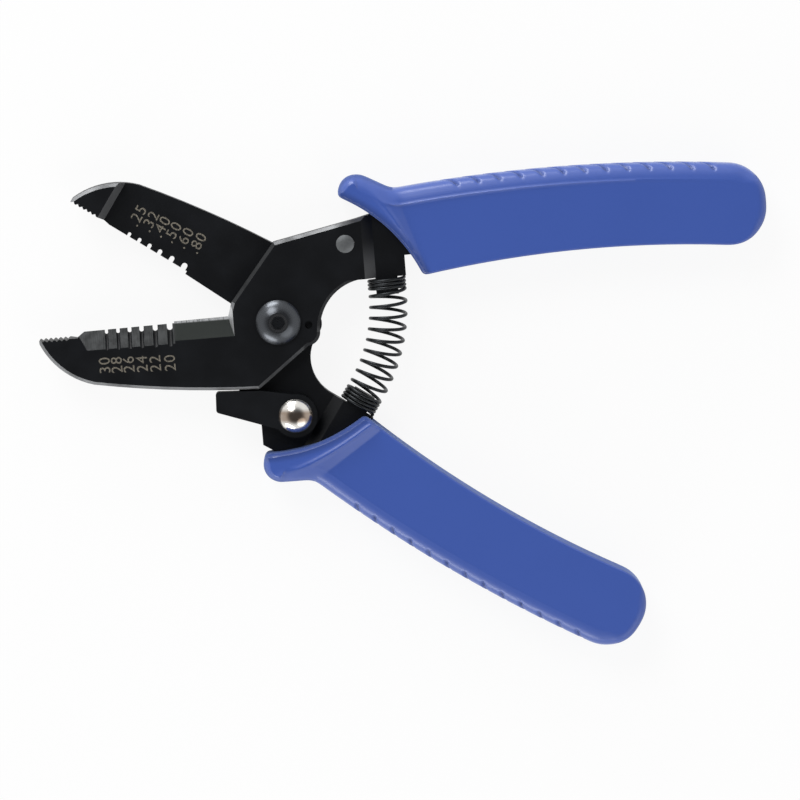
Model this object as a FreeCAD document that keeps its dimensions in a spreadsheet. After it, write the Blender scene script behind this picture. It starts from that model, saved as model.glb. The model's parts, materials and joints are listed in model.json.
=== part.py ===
import FreeCAD, Part
import math
import os

import Sketcher
from FreeCAD import Placement, Rotation, Vector

# Wire stripping pliers: two stamped halves lapped at a screw, with bypass blades,
# a coil spring between the arms, a lock lever and two moulded grips.
# Each half is drawn shut, with the pivot at the origin: jaw towards -X below the
# middle line, arm towards +X above it, lap face near z = 0, outer face on +Z.

# Driving sizes in millimetres and degrees: name, value, meaning
SIZES = [
    ("plate_thickness", 3.5, "each stamped half"),
    ("lap_gap", 0.03, "running gap of each half to the lap plane"),
    ("half_opening", 17.4, "each half stands open by this angle at rest"),
    ("edge_break", 0.75, "chamfer round the outer face"),
    ("jaw_length", 55.9, "pivot to the nose tip"),
    ("tip_blunt", 0.8, "flat of the nose tip"),
    ("nose_round", 18.5, "radius of the nose's outer curve"),
    ("belly_place", 44.0, "pivot to the start of the belly"),
    ("belly_depth", 11.2, "jaw depth where the belly starts"),
    ("belly_round", 250.0, "radius of the belly"),
    ("heel_place", 5.6, "heel corner, left of the pivot"),
    ("heel_depth", 15.3, "heel corner, below the pivot"),
    ("cheek_place", 6.6, "start of the round below the pivot"),
    ("cheek_depth", 6.1, "depth of that round"),
    ("cheek_round", 3.2, "its radius"),
    ("cutout_place", 9.6, "start of the round cut-out in front of the spring"),
    ("cutout_depth", 3.0, "depth of that start"),
    ("front_cutout_round", 11.8, "radius of the front half's cut-out"),
    ("rear_cutout_round", 9.8, "radius of the rear half's cut-out"),
    ("cutout_end", 19.6, "end of the cut-out"),
    ("seat_height", 8.4, "spring seat above the middle line"),
    ("seat_end", 30.6, "far end of the spring seat"),
    ("tab_place", 26.0, "pivot to the middle of the spring tab"),
    ("tab_width", 5.2, "spring tab"),
    ("tab_length", 4.1, "spring tab"),
    ("tang_inner", 13.2, "tang's inner edge at the seat"),
    ("tang_inner_end", 14.2, "tang's inner edge at its end"),
    ("tang_outer_end", 24.6, "tang's outer edge at its end"),
    ("tang_length", 97.0, "pivot to the tang's end"),
    ("tang_round", 6.5, "radius of the tang's end"),
    ("shoulder_tip_place", 15.5, "tip of the shoulder under the guard"),
    ("shoulder_tip_height", 27.0, "tip of the shoulder under the guard"),
    ("shoulder_foot_place", 12.5, "foot of the shoulder on the arm"),
    ("front_shoulder", 10.8, "front half's shoulder, further from the pivot"),
    ("rear_shoulder", -3.9, "rear half's shoulder, nearer to the pivot"),
    ("front_foot_height", 23.3, "foot of the front half's shoulder"),
    ("rear_foot_height", 22.7, "foot of the rear half's shoulder"),
    ("arm_corner_place", 0.3, "corner of arm and hub"),
    ("arm_corner_height", 18.7, "corner of arm and hub"),
    ("hub_corner_place", 10.4, "corner of hub and cutter, left of the pivot"),
    ("hub_corner_height", 5.6, "corner of hub and cutter"),
    ("hub_grind", 1.2, "ground ramp beside the cutter"),
    ("cutter_inner", 11.6, "pivot to the near end of the wire cutter"),
    ("cutter_outer", 24.3, "pivot to the far end of the wire cutter"),
    ("cutter_overlap", 2.05, "cutter edge past the middle line, near the hub"),
    ("front_cutter_end", 1.85, "front cutter edge past the middle line, at its far end"),
    ("rear_cutter_end", 1.4, "rear cutter edge past the middle line, at its far end"),
    ("blade_overlap_inner", 1.05, "stripping edge past the meeting line, near the cutter"),
    ("blade_overlap_outer", 0.75, "stripping edge past the meeting line, near the nose"),
    ("front_meeting", 0.4, "the stripping edges' meeting line, past the middle line"),
    ("rear_meeting", -0.4, "the same line, seen from the rear half"),
    ("blade_end", 45.4, "pivot to the outer end of the stripping edge"),
    ("nose_start", 47.0, "pivot to the start of the gripping nose"),
    ("nose_ramp", 1.6, "length of the ramp up to the thick nose"),
    ("joggle_start", 20.0, "pivot to the bend that brings the arm to the middle plane"),
    ("joggle_run", 2.6, "length of the bend"),
    ("joggle_lag", 1.0, "outer face bends this much later"),
    ("bevel_angle", 35.0, "ground bevel against the plate"),
    ("bevel_land", 0.45, "plain edge left under the bevel"),
    ("bevel_nose_lean", 0.58, "bevel's slanted end, run over rise"),
    ("notch_flare", 0.5, "notch width over the wire's diameter"),
    ("wire_20", 0.81, "wire diameter of the largest notch"),
    ("wire_22", 0.64, "wire diameter"),
    ("wire_24", 0.51, "wire diameter"),
    ("wire_26", 0.40, "wire diameter"),
    ("wire_28", 0.32, "wire diameter"),
    ("wire_30", 0.25, "wire diameter of the smallest notch"),
    ("notch_20", 25.4, "pivot to the notch"),
    ("notch_22", 28.8, "pivot to the notch"),
    ("notch_24", 32.0, "pivot to the notch"),
    ("notch_26", 34.8, "pivot to the notch"),
    ("notch_28", 37.5, "pivot to the notch"),
    ("notch_30", 40.2, "pivot to the notch"),
    ("tooth_pitch", 1.15, "gripping teeth of the nose"),
    ("tooth_depth", 0.42, "gripping teeth of the nose"),
    ("tooth_count", 6, "gripping teeth of the nose"),
    ("tooth_share", 0.8, "width of a tooth groove over the pitch"),
    ("tooth_margin", 0.7, "plain length before the first tooth"),
    ("pivot_bore", 6.0, "pivot screw's shank"),
    ("running_fit", 0.04, "radial clearance of what turns"),
    ("snug_fit", 0.02, "radial clearance of what is held"),
    ("head_diameter", 10.5, "pivot screw's button head"),
    ("head_height", 2.4, "pivot screw's button head"),
    ("head_dome", 5.8, "radius of the head's dome"),
    ("head_rim", 0.5, "straight rim under the dome"),
    ("socket_across", 3.0, "hex socket across flats"),
    ("socket_depth", 1.6, "hex socket"),
    ("socket_lead", 0.9, "chamfered mouth round the socket, in radius"),
    ("nut_across", 10.0, "pivot nut across flats"),
    ("nut_height", 2.6, "pivot nut"),
    ("nut_bevel", 0.6, "pivot nut's corner chamfer"),
    ("nut_bevel_slope", 0.5, "rise over run of that chamfer"),
    ("screw_stub", 0.2, "screw end short of the nut's face"),
    ("punch_place", 7.0, "punch mark, right of the pivot"),
    ("punch_drop", 1.2, "punch mark, below the pivot"),
    ("punch_diameter", 1.8, "punch mark"),
    ("punch_depth", 1.0, "punch mark"),
    ("pin_place", 17.0, "stop pin, right of the pivot"),
    ("pin_height", 17.0, "stop pin, above the pivot"),
    ("pin_diameter", 4.2, "stop pin"),
    ("pin_reach", 2.4, "stop pin behind the lap face"),
    ("pin_dome", 0.3, "domed end of the stop pin"),
    ("stop_gap", 0.08, "stop pin to the rear heel when open"),
    ("stop_width", 2.8, "rear heel beside the pin"),
    ("stop_overreach", 0.6, "rear heel past the pin's middle"),
    ("rivet_place", 14.6, "lock rivet, right of the pivot"),
    ("rivet_drop", 17.0, "lock rivet, below the pivot"),
    ("rivet_shank", 4.0, "lock rivet"),
    ("rivet_head", 7.9, "lock rivet's dome"),
    ("rivet_dome", 2.0, "height of that dome"),
    ("rivet_back", 6.0, "upset rear end of the rivet"),
    ("rivet_back_height", 1.0, "upset rear end of the rivet"),
    ("rivet_back_taper", 0.7, "its end over its width at the plate"),
    ("washer_diameter", 9.0, "friction washer under the lever"),
    ("washer_thickness", 0.3, "friction washer under the lever"),
    ("lever_thickness", 2.8, "lock lever"),
    ("lever_disc", 10.2, "lock lever's round end"),
    ("lever_reach", 18.5, "rivet to the end of the lever's tab"),
    ("lever_rise", 6.2, "lever's edge beside the jaw, from the rivet"),
    ("lever_root", 7.9, "rivet to the root of the tab"),
    ("lever_tip_low", 1.4, "lower corner of the tab's end"),
    ("lever_round", 0.8, "corners of the tab"),
    ("lever_lower_meet", 36.0, "where the tab's outer edge meets the round end"),
    ("lever_upper_meet", 84.0, "where the tab's inner edge meets the round end"),
    ("belly_slope", 2.7, "slope of the belly beside the lever"),
    ("axial_gap", 0.03, "end play of what turns"),
    ("grip_thickness", 12.6, "moulded grip"),
    ("front_grip_end", 115.6, "pivot to the upper grip's end"),
    ("rear_grip_end", 109.2, "pivot to the lower grip's end"),
    ("front_grip_seat", 0.8, "upper grip's rim, further from the pivot"),
    ("rear_grip_seat", -2.2, "lower grip's rim, nearer to the pivot"),
    ("front_inner_start", 8.3, "upper grip's inner edge at the rim"),
    ("rear_inner_start", 8.65, "lower grip's inner edge at the rim"),
    ("front_rim_place", 33.8, "upper rim's inner corner"),
    ("rear_rim_place", 30.6, "lower rim's inner corner"),
    ("grip_inner_end", 8.4, "grip's inner edge at its end"),
    ("grip_inner_round", 270.0, "bow of the inner edge"),
    ("grip_outer_end", 27.6, "grip's outer edge at its end"),
    ("front_outer_start", 28.8, "upper grip's outer edge behind the guard"),
    ("rear_outer_start", 28.0, "lower grip's outer edge behind the guard"),
    ("grip_outer_place", 28.0, "outer edge's start behind the guard"),
    ("grip_outer_round", 364.0, "bow of the outer edge"),
    ("guard_back", 21.0, "guard's rear top corner"),
    ("guard_front", 16.5, "guard's front top corner"),
    ("front_guard_height", 32.7, "upper guard above the middle line"),
    ("rear_guard_height", 32.8, "lower guard above the middle line"),
    ("guard_foot_place", 15.2, "rim's outer corner"),
    ("guard_foot_height", 28.2, "rim's outer corner"),
    ("rim_round", 38.0, "hollow of the rim"),
    ("guard_round", 3.9, "corners of the guard"),
    ("guard_hollow", 3.5, "hollow behind the guard"),
    ("grip_end_round", 8.6, "corners of the grip's end"),
    ("grip_edge_round", 3.6, "rounding of the grip's long edges"),
    ("mouth_reach", 27.0, "pivot to the end of the mouth for the bent arm"),
    ("grip_fit", 0.05, "clearance round the tang"),
    ("spring_wire", 0.8, "return spring's wire"),
    ("spring_diameter", 9.1, "return spring outside"),
    ("spring_closed_upper", 3.0, "closed turns on the upper tab"),
    ("spring_closed_lower", 4.0, "closed turns on the lower tab"),
    ("spring_open_turns", 9.0, "open turns"),
    ("spring_closed_gap", 0.06, "gap between closed turns"),
    ("spring_straight", 4.6, "straight length of the axis at each tab"),
]

doc = FreeCAD.newDocument("wire_stripping_pliers")
sheet = doc.addObject("Spreadsheet::Sheet", "Sizes")
for row, (alias, amount, meaning) in enumerate(SIZES, start=1):
    sheet.set(f"A{row}", meaning)
    sheet.set(f"B{row}", str(amount))
    sheet.setAlias(f"B{row}", alias)
doc.recompute()


class Size:
    """A number from the sheet, kept with the formula that reads it."""

    def __init__(self, value, formula):
        self.value = value
        self.formula = formula

    def join(self, other, symbol, value):
        return Size(value, f"({self.formula} {symbol} {as_size(other).formula})")

    def __add__(self, other):
        return self.join(other, "+", self.value + as_size(other).value)

    def __sub__(self, other):
        return self.join(other, "-", self.value - as_size(other).value)

    def __mul__(self, other):
        return self.join(other, "*", self.value * as_size(other).value)

    def __truediv__(self, other):
        return self.join(other, "/", self.value / as_size(other).value)

    def __neg__(self):
        return Size(-self.value, f"(-1 * {self.formula})")


def as_size(number):
    if isinstance(number, Size):
        return number
    return Size(float(number), repr(float(number)))


def size(alias):
    return Size(float(sheet.get(alias)), f"Sizes.{alias}")


def cosine(angle):
    return Size(math.cos(math.radians(angle.value)), f"cos({angle.formula})")


def sine(angle):
    return Size(math.sin(math.radians(angle.value)), f"sin({angle.formula})")


def turned(x, y, angle):
    """A point turned about the pivot, with its formulas."""
    return (x * cosine(angle) - y * sine(angle), x * sine(angle) + y * cosine(angle))


def bind(feature, property_name, amount):
    feature.setExpression(property_name, as_size(amount).formula)


def new_body(label):
    body = doc.addObject("PartDesign::Body", label)
    body.Label = label
    return body


def new_sketch(body, name, plane="XY_Plane", lift=0, shift_y=0, fall=0):
    """A sketch on one of the body's own planes, lifted off it or falling towards +Y."""
    sketch = body.newObject("Sketcher::SketchObject", name)
    support = [item for item in body.Origin.OriginFeatures if item.Role == plane]
    sketch.AttachmentSupport = [(support[0], "")]
    sketch.MapMode = "FlatFace"
    lift = as_size(lift)
    shift_y = as_size(shift_y)
    fall = as_size(fall)
    turn = Rotation(Vector(-1, 0, 0), fall.value)
    sketch.AttachmentOffset = Placement(Vector(0, shift_y.value, lift.value), turn)
    bind(sketch, "AttachmentOffset.Base.y", shift_y)
    bind(sketch, "AttachmentOffset.Base.z", lift)
    if fall.value:
        bind(sketch, "AttachmentOffset.Rotation.Angle", fall)
    return sketch


def pin_coordinate(sketch, kind, axis, geometry, point, amount):
    if amount.value == 0:
        sketch.addConstraint(Sketcher.Constraint("PointOnObject", geometry, point, axis))
        return
    index = sketch.addConstraint(Sketcher.Constraint(kind, geometry, point, amount.value))
    bind(sketch, f"Constraints[{index}]", amount)


def arc_between(start, end, radius):
    """The short arc from start to end; a positive radius turns to the left."""
    middle = (start + end) / 2
    along = end - start
    rise = math.sqrt(radius * radius - along.Length ** 2 / 4)
    left = Vector(-along.y, along.x, 0).normalize()
    centre = middle + left * (rise if radius > 0 else -rise)
    first, last = (start, end) if radius > 0 else (end, start)
    circle = Part.Circle(centre, Vector(0, 0, 1), abs(radius))
    return Part.ArcOfCircle(circle, circle.parameter(first), circle.parameter(last))


def draw_loop(sketch, steps):
    """A closed outline. Each step is the (x, y) that a line reaches, or (x, y, radius)
    for an arc, with a negative radius where the arc turns to the right."""
    corners = [[as_size(number) for number in step] for step in steps]
    points = [Vector(corner[0].value, corner[1].value, 0) for corner in corners]
    ends = []
    for index, corner in enumerate(corners):
        start = points[index - 1]
        if len(corner) == 2:
            geometry = sketch.addGeometry(Part.LineSegment(start, points[index]), False)
            ends.append((geometry, 1, 2))
            continue
        radius = corner[2]
        geometry = sketch.addGeometry(arc_between(start, points[index], radius.value), False)
        ends.append((geometry, 1, 2) if radius.value > 0 else (geometry, 2, 1))
    for index, (geometry, first, last) in enumerate(ends):
        following = ends[(index + 1) % len(ends)]
        sketch.addConstraint(Sketcher.Constraint("Coincident", geometry, last, following[0], following[1]))
        pin_coordinate(sketch, "DistanceX", -2, geometry, last, corners[index][0])
        pin_coordinate(sketch, "DistanceY", -1, geometry, last, corners[index][1])
    for corner, (geometry, first, last) in zip(corners, ends):
        if len(corner) == 3:
            radius = corner[2] if corner[2].value > 0 else -corner[2]
            index = sketch.addConstraint(Sketcher.Constraint("Radius", geometry, radius.value))
            bind(sketch, f"Constraints[{index}]", radius)


def draw_circle(sketch, x, y, diameter):
    x, y, diameter = as_size(x), as_size(y), as_size(diameter)
    circle = Part.Circle(Vector(x.value, y.value, 0), Vector(0, 0, 1), diameter.value / 2)
    geometry = sketch.addGeometry(circle, False)
    pin_coordinate(sketch, "DistanceX", -2, geometry, 3, x)
    pin_coordinate(sketch, "DistanceY", -1, geometry, 3, y)
    index = sketch.addConstraint(Sketcher.Constraint("Diameter", geometry, diameter.value))
    bind(sketch, f"Constraints[{index}]", diameter)


def draw_hexagon(sketch, across):
    corner = across / cosine(as_size(30)) / 2
    steps = []
    for turn in range(6):
        steps.append(turned(corner, as_size(0), as_size(60 * turn + 30)))
    draw_loop(sketch, steps)


def pad(body, name, sketch, length, symmetric=False, reverse=False):
    feature = body.newObject("PartDesign::Pad", name)
    feature.Profile = sketch
    feature.SideType = "Symmetric" if symmetric else "One side"
    feature.Reversed = reverse
    bind(feature, "Length", length)
    doc.recompute()
    return feature


def pocket(body, name, sketch, length=None, reverse=False, symmetric=False, along=None):
    """Cuts the sketch out of the body, straight or along a slanted direction."""
    before = body.Tip.Shape.Volume
    feature = body.newObject("PartDesign::Pocket", name)
    feature.Profile = sketch
    feature.SideType = "Symmetric" if symmetric else "One side"
    feature.Reversed = reverse
    if length is None:
        feature.Type = "ThroughAll"
    else:
        feature.Type = "Length"
        bind(feature, "Length", length)
    if along is not None:
        feature.UseCustomVector = True
        feature.Direction = along
        feature.AlongSketchNormal = False
    doc.recompute()
    if feature.Shape.isNull() or feature.Shape.Volume >= before:
        raise RuntimeError(f"{name} cuts nothing")
    return feature


def revolve(body, name, sketch):
    feature = body.newObject("PartDesign::Revolution", name)
    feature.Profile = sketch
    feature.ReferenceAxis = (sketch, ["V_Axis"])
    feature.Angle = 360
    doc.recompute()
    return feature


def edges_where(feature, test):
    names = []
    for index, edge in enumerate(feature.Shape.Edges, start=1):
        if test(edge):
            names.append(f"Edge{index}")
    return names


def soften(body, kind, name, test, property_name, amount):
    """A Fillet or Chamfer on the edges of the body that pass the test."""
    base = body.Tip
    feature = body.newObject(f"PartDesign::{kind}", name)
    feature.Base = (base, edges_where(base, test))
    bind(feature, property_name, amount)
    doc.recompute()
    return feature


def upright_at(places):
    """True for edges along Z that stand at one of the places."""
    def test(edge):
        if len(edge.Vertexes) != 2:
            return False
        low, high = edge.Vertexes[0].Point, edge.Vertexes[1].Point
        if abs(low.x - high.x) > 1e-6 or abs(low.y - high.y) > 1e-6:
            return False
        return any(math.hypot(low.x - x.value, low.y - y.value) < 1e-3 for x, y in places)
    return test


def flat_at(height):
    """True for edges that lie at the height, above or below the middle plane."""
    def test(edge):
        box = edge.BoundBox
        return abs(abs(box.ZMin) - height.value) < 1e-6 and abs(box.ZMax - box.ZMin) < 1e-6
    return test


def kept_sharp(edge):
    """True for edges of the blades, the nose face and tip, the spring seat and the tang."""
    box = edge.BoundBox
    tip = box.XMax < -size("jaw_length").value + 1e-6
    bite = box.YMin > -1e-6 and box.XMax < -size("hub_corner_place").value
    seat = box.XMin > size("cutout_end").value - 1e-6
    return tip or bite or seat or box.XMax > size("seat_end").value


GAUGES = ("20", "22", "24", "26", "28", "30")
CUT_MARGIN = 1.0
BEVEL_MARGIN = 3.0
THICK = size("plate_thickness")
LAP = size("lap_gap")
HALF_OPEN = size("half_opening")


def stop_face():
    """The stop pin's place in the rear half when the pliers are open, as radius and angle."""
    reach = math.hypot(size("pin_place").value, size("pin_height").value)
    lean = math.degrees(math.atan2(size("pin_height").value, size("pin_place").value))
    place = f"sqrt(pow({size('pin_place').formula}; 2) + pow({size('pin_height').formula}; 2))"
    angle = f"atan2({size('pin_height').formula}; {size('pin_place').formula})"
    return Size(reach, place), -(Size(lean, f"({angle} / 1deg)") + HALF_OPEN * 2)


def stop_heel():
    """Corners of the rear half's heel, whose right edge meets the stop pin."""
    reach, angle = stop_face()
    aside = -(size("pin_diameter") / 2 + size("stop_gap"))
    far = reach + size("stop_overreach")
    near = size("heel_depth") + CUT_MARGIN
    left = aside - size("stop_width")
    return [turned(far, left, angle), turned(far, aside, angle), turned(near, aside, angle)]


def shoulder_of(side):
    """Tip and foot of the half's shoulder under the grip's guard."""
    shoulder = size(f"{side}_shoulder")
    tip = (size("shoulder_tip_place") + shoulder, size("shoulder_tip_height"))
    foot = (size("shoulder_foot_place") + shoulder, size(f"{side}_foot_height"))
    return tip, foot


def plate_outline(side):
    """Half in plan, anticlockwise from the nose face."""
    shoulder_tip, shoulder_foot = shoulder_of(side)
    meeting = size(f"{side}_meeting")
    tab_left = size("tab_place") - size("tab_width") / 2
    tab_right = size("tab_place") + size("tab_width") / 2
    tab_end = size("seat_height") - size("tab_length")
    heel = [(-size("heel_place"), -size("heel_depth"), size("belly_round"))]
    if side == "rear":
        heel.extend(stop_heel())
    return [
        (-size("jaw_length"), 0),
        (-size("jaw_length"), -size("tip_blunt")),
        (-size("belly_place"), -size("belly_depth"), size("nose_round")),
        *heel,
        (size("cheek_place"), -size("cheek_depth")),
        (size("cutout_place"), -size("cutout_depth"), size("cheek_round")),
        (size("cutout_end"), size("seat_height"), -size(f"{side}_cutout_round")),
        (tab_left, size("seat_height")),
        (tab_left, tab_end),
        (tab_right, tab_end),
        (tab_right, size("seat_height")),
        (size("seat_end"), size("seat_height")),
        (size("seat_end"), size("tang_inner")),
        (size("tang_length"), size("tang_inner_end")),
        (size("tang_length"), size("tang_outer_end"), size("tang_round")),
        shoulder_tip,
        shoulder_foot,
        (size("arm_corner_place"), size("arm_corner_height")),
        (-size("hub_corner_place"), size("hub_corner_height")),
        (-size("cutter_inner"), size("cutter_overlap")),
        (-size("cutter_outer"), size(f"{side}_cutter_end")),
        (-size("cutter_outer"), size("blade_overlap_inner") + meeting),
        (-size("blade_end"), size("blade_overlap_outer") + meeting),
        (-size("nose_start"), 0),
    ]


def layer_cuts(body):
    """Side view: the thick nose, the lapped hub and the arm bent to the middle plane."""
    beyond = size("tang_length") + size("tang_round")
    outside = THICK + CUT_MARGIN
    bend_end = size("joggle_start") + size("joggle_run")
    ramp_top = -(size("nose_start") + size("nose_ramp"))
    sketch = new_sketch(body, "layers", "XZ_Plane")
    draw_loop(sketch, [
        (ramp_top, -outside),
        (beyond, -outside),
        (beyond, -(THICK / 2)),
        (bend_end, -(THICK / 2)),
        (size("joggle_start"), LAP),
        (-size("nose_start"), LAP),
        (ramp_top, -THICK),
    ])
    draw_loop(sketch, [
        (size("joggle_start") + size("joggle_lag"), THICK),
        (bend_end + size("joggle_lag"), THICK / 2),
        (beyond, THICK / 2),
        (beyond, outside),
        (size("joggle_start") + size("joggle_lag"), outside),
    ])
    pocket(body, "layering", sketch, symmetric=True)


def bevel_cut(body, name, overlap, near, far, lean, ramp):
    """A ground bevel from the cutting edge down to the outer face. Its far end leans,
    and a ramp leads up to the outer face at the near end."""
    angle = size("bevel_angle")
    height = THICK - size("bevel_land")
    slope = height / sine(angle)
    spread = ramp / slope
    sketch = new_sketch(body, name, lift=size("bevel_land"), shift_y=overlap, fall=angle)
    draw_loop(sketch, [
        (-far - lean * BEVEL_MARGIN, BEVEL_MARGIN),
        (-far + lean * (slope + CUT_MARGIN), -slope - CUT_MARGIN),
        (-near + spread * CUT_MARGIN, -slope - CUT_MARGIN),
        (-near - ramp - spread * BEVEL_MARGIN, BEVEL_MARGIN),
    ])
    towards_hub = (ramp * cosine(angle) / height).value
    upward = Vector(towards_hub, sine(angle).value, cosine(angle).value)
    pocket(body, f"{name}_ground", sketch, slope * 2, along=upward)


def wire_notches(body, meeting):
    """Round-bottomed notches that run down the bevel and fade out at its foot."""
    angle = size("bevel_angle")
    run = (THICK - size("bevel_land")) / sine(angle) * cosine(angle) - size("blade_overlap_outer")
    sketch = new_sketch(body, "notches")
    for gauge in GAUGES:
        wire = size(f"wire_{gauge}")
        width = wire + size("notch_flare")
        place = -size(f"notch_{gauge}")
        bottom = meeting - wire / 2
        top = size("cutter_overlap") + CUT_MARGIN
        draw_loop(sketch, [
            (place - width / 2, top),
            (place - width / 2, bottom + width / 2),
            (place, bottom, width / 2),
            (place + width / 2, bottom + width / 2, width / 2),
            (place + width / 2, top),
        ])
    pocket(body, "wire_notches", sketch, THICK * 2, along=Vector(0, -run.value / THICK.value, 1))


def nose_teeth(body):
    """Cross teeth on the gripping face of the nose."""
    first = -(size("jaw_length") - size("tooth_margin"))
    half = size("tooth_pitch") * size("tooth_share") / 2
    sketch = new_sketch(body, "tooth")
    draw_loop(sketch, [
        (first - half, CUT_MARGIN),
        (first - half, 0),
        (first, -size("tooth_depth")),
        (first + half, 0),
        (first + half, CUT_MARGIN),
    ])
    groove = pocket(body, "tooth_groove", sketch, symmetric=True)
    pattern = body.newObject("PartDesign::LinearPattern", "nose_teeth")
    pattern.Originals = [groove]
    pattern.Direction = (sketch, ["H_Axis"])
    bind(pattern, "Length", size("tooth_pitch") * (size("tooth_count") - 1))
    bind(pattern, "Occurrences", size("tooth_count"))
    body.Tip = pattern
    doc.recompute()


def drill(body, name, x, y, diameter):
    sketch = new_sketch(body, name)
    draw_circle(sketch, x, y, diameter)
    pocket(body, f"{name}_bore", sketch, symmetric=True)


def make_plate(side):
    """One stamped half with its blades, spring tab and tang."""
    body = new_body(f"{side}_plate")
    outline = new_sketch(body, "outline")
    draw_loop(outline, plate_outline(side))
    pad(body, "blank", outline, THICK * 2, symmetric=True)
    level = flat_at(THICK)
    soften(body, "Chamfer", "broken_edges", lambda edge: level(edge) and not kept_sharp(edge), "Size",
           size("edge_break"))
    layer_cuts(body)
    meeting = size(f"{side}_meeting")
    blade = meeting + (size("blade_overlap_inner") + size("blade_overlap_outer")) / 2
    cutter = (size("cutter_overlap") + size(f"{side}_cutter_end")) / 2
    bevel_cut(body, "blade_bevel", blade, size("cutter_outer"), size("nose_start") + CUT_MARGIN,
              size("bevel_nose_lean"), as_size(0))
    bevel_cut(body, "cutter_bevel", cutter, size("hub_corner_place"),
              size("cutter_outer") + size("hub_grind") * 2, as_size(0), size("hub_grind"))
    wire_notches(body, meeting)
    nose_teeth(body)
    drill(body, "pivot", 0, 0, size("pivot_bore") + size("running_fit") * 2)
    return body


def make_front_plate():
    body = make_plate("front")
    drill(body, "pin", size("pin_place"), size("pin_height"), size("pin_diameter") + size("snug_fit") * 2)
    mark = new_sketch(body, "punch", lift=THICK)
    draw_circle(mark, size("punch_place"), -size("punch_drop"), size("punch_diameter"))
    pocket(body, "punch_mark", mark, size("punch_depth"))
    return body


def make_rear_plate():
    body = make_plate("rear")
    drill(body, "rivet", size("rivet_place"), size("rivet_drop"), size("rivet_shank") + size("snug_fit") * 2)
    return body


def make_pivot_screw():
    """Button head screw through both halves, with a hex socket."""
    body = new_body("pivot_screw")
    seat = THICK + size("axial_gap")
    end = -(THICK + size("nut_height") - size("screw_stub"))
    dome_top = seat + size("head_height")
    flat = size("socket_across") / 2 + size("socket_lead")
    sketch = new_sketch(body, "profile", "XZ_Plane")
    draw_loop(sketch, [
        (0, end),
        (size("pivot_bore") / 2, end),
        (size("pivot_bore") / 2, seat),
        (size("head_diameter") / 2, seat),
        (size("head_diameter") / 2, seat + size("head_rim")),
        (flat, dome_top, size("head_dome")),
        (0, dome_top),
    ])
    revolve(body, "turned", sketch)
    socket = new_sketch(body, "socket", lift=dome_top)
    draw_hexagon(socket, size("socket_across"))
    pocket(body, "hex_socket", socket, size("socket_depth"))
    return body


def make_pivot_nut():
    """Thin hex nut on the rear face, chamfered on its free side."""
    body = new_body("pivot_nut")
    sketch = new_sketch(body, "hexagon", lift=-THICK)
    draw_hexagon(sketch, size("nut_across"))
    draw_circle(sketch, 0, 0, size("pivot_bore") + size("snug_fit") * 2)
    pad(body, "blank", sketch, size("nut_height"), reverse=True)
    far = -(THICK + size("nut_height"))
    outer = size("nut_across") / cosine(as_size(30)) / 2 + CUT_MARGIN
    inner = size("nut_across") / 2 - size("nut_bevel") / 2
    cut = new_sketch(body, "corner_cut", "XZ_Plane")
    draw_loop(cut, [
        (inner, far - CUT_MARGIN),
        (outer, far - CUT_MARGIN),
        (outer, far + (outer - inner) * size("nut_bevel_slope")),
        (inner, far),
    ])
    groove = body.newObject("PartDesign::Groove", "corners")
    groove.Profile = cut
    groove.ReferenceAxis = (cut, ["V_Axis"])
    groove.Angle = 360
    doc.recompute()
    return body


def make_stop_pin():
    """Dowel pressed through the front half, domed on the outer face."""
    body = new_body("stop_pin")
    top = THICK + size("pin_dome")
    radius = size("pin_diameter") / 2
    sketch = new_sketch(body, "profile", "XZ_Plane")
    dome = (radius * radius + size("pin_dome") * size("pin_dome")) / (size("pin_dome") * 2)
    draw_loop(sketch, [
        (0, -size("pin_reach")),
        (radius, -size("pin_reach")),
        (radius, THICK),
        (0, top, dome),
    ])
    revolve(body, "turned", sketch)
    return body


LEVER_BASE = size("washer_thickness") + size("axial_gap") - LAP
LEVER_TOP = LEVER_BASE + size("lever_thickness")


def make_lock_lever():
    """Thumb lever: a round end on the rivet and a tab beside the lower jaw."""
    body = new_body("lock_lever")
    radius = size("lever_disc") / 2
    away = turned(radius, as_size(0), size("lever_lower_meet"))
    beside = turned(radius, as_size(0), -size("lever_upper_meet"))
    tip_beside = (size("lever_reach"), -size("lever_rise"))
    tip_away = (size("lever_reach"), -size("lever_tip_low"))
    root = (size("lever_root"), -size("lever_rise"))
    sketch = new_sketch(body, "outline", lift=LEVER_BASE)
    draw_loop(sketch, [
        tip_away,
        away,
        (-radius, 0, radius),
        (*beside, radius),
        root,
        tip_beside,
    ])
    draw_circle(sketch, 0, 0, size("rivet_shank") + size("running_fit") * 2)
    pad(body, "blank", sketch, size("lever_thickness"))
    soften(body, "Fillet", "corners", upright_at([tip_away, tip_beside]), "Radius", size("lever_round"))
    return body


def make_lock_rivet():
    """Domed rivet that carries the lever on the rear half."""
    body = new_body("lock_rivet")
    seat = LEVER_TOP + size("axial_gap")
    shank = size("rivet_shank") / 2
    head = size("rivet_head") / 2
    back = size("rivet_back") / 2
    dome = (head * head + size("rivet_dome") * size("rivet_dome")) / (size("rivet_dome") * 2)
    sketch = new_sketch(body, "profile", "XZ_Plane")
    draw_loop(sketch, [
        (0, -(THICK + size("rivet_back_height"))),
        (back * size("rivet_back_taper"), -(THICK + size("rivet_back_height"))),
        (back, -THICK),
        (shank, -THICK),
        (shank, seat),
        (head, seat),
        (0, seat + size("rivet_dome"), dome),
    ])
    revolve(body, "turned", sketch)
    return body


def make_lock_washer():
    """Thin friction washer between the lever and the rear half."""
    body = new_body("lock_washer")
    sketch = new_sketch(body, "ring", lift=-LAP)
    draw_circle(sketch, 0, 0, size("washer_diameter"))
    draw_circle(sketch, 0, 0, size("rivet_shank") + size("snug_fit") * 2)
    pad(body, "blank", sketch, size("washer_thickness"))
    return body


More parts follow.
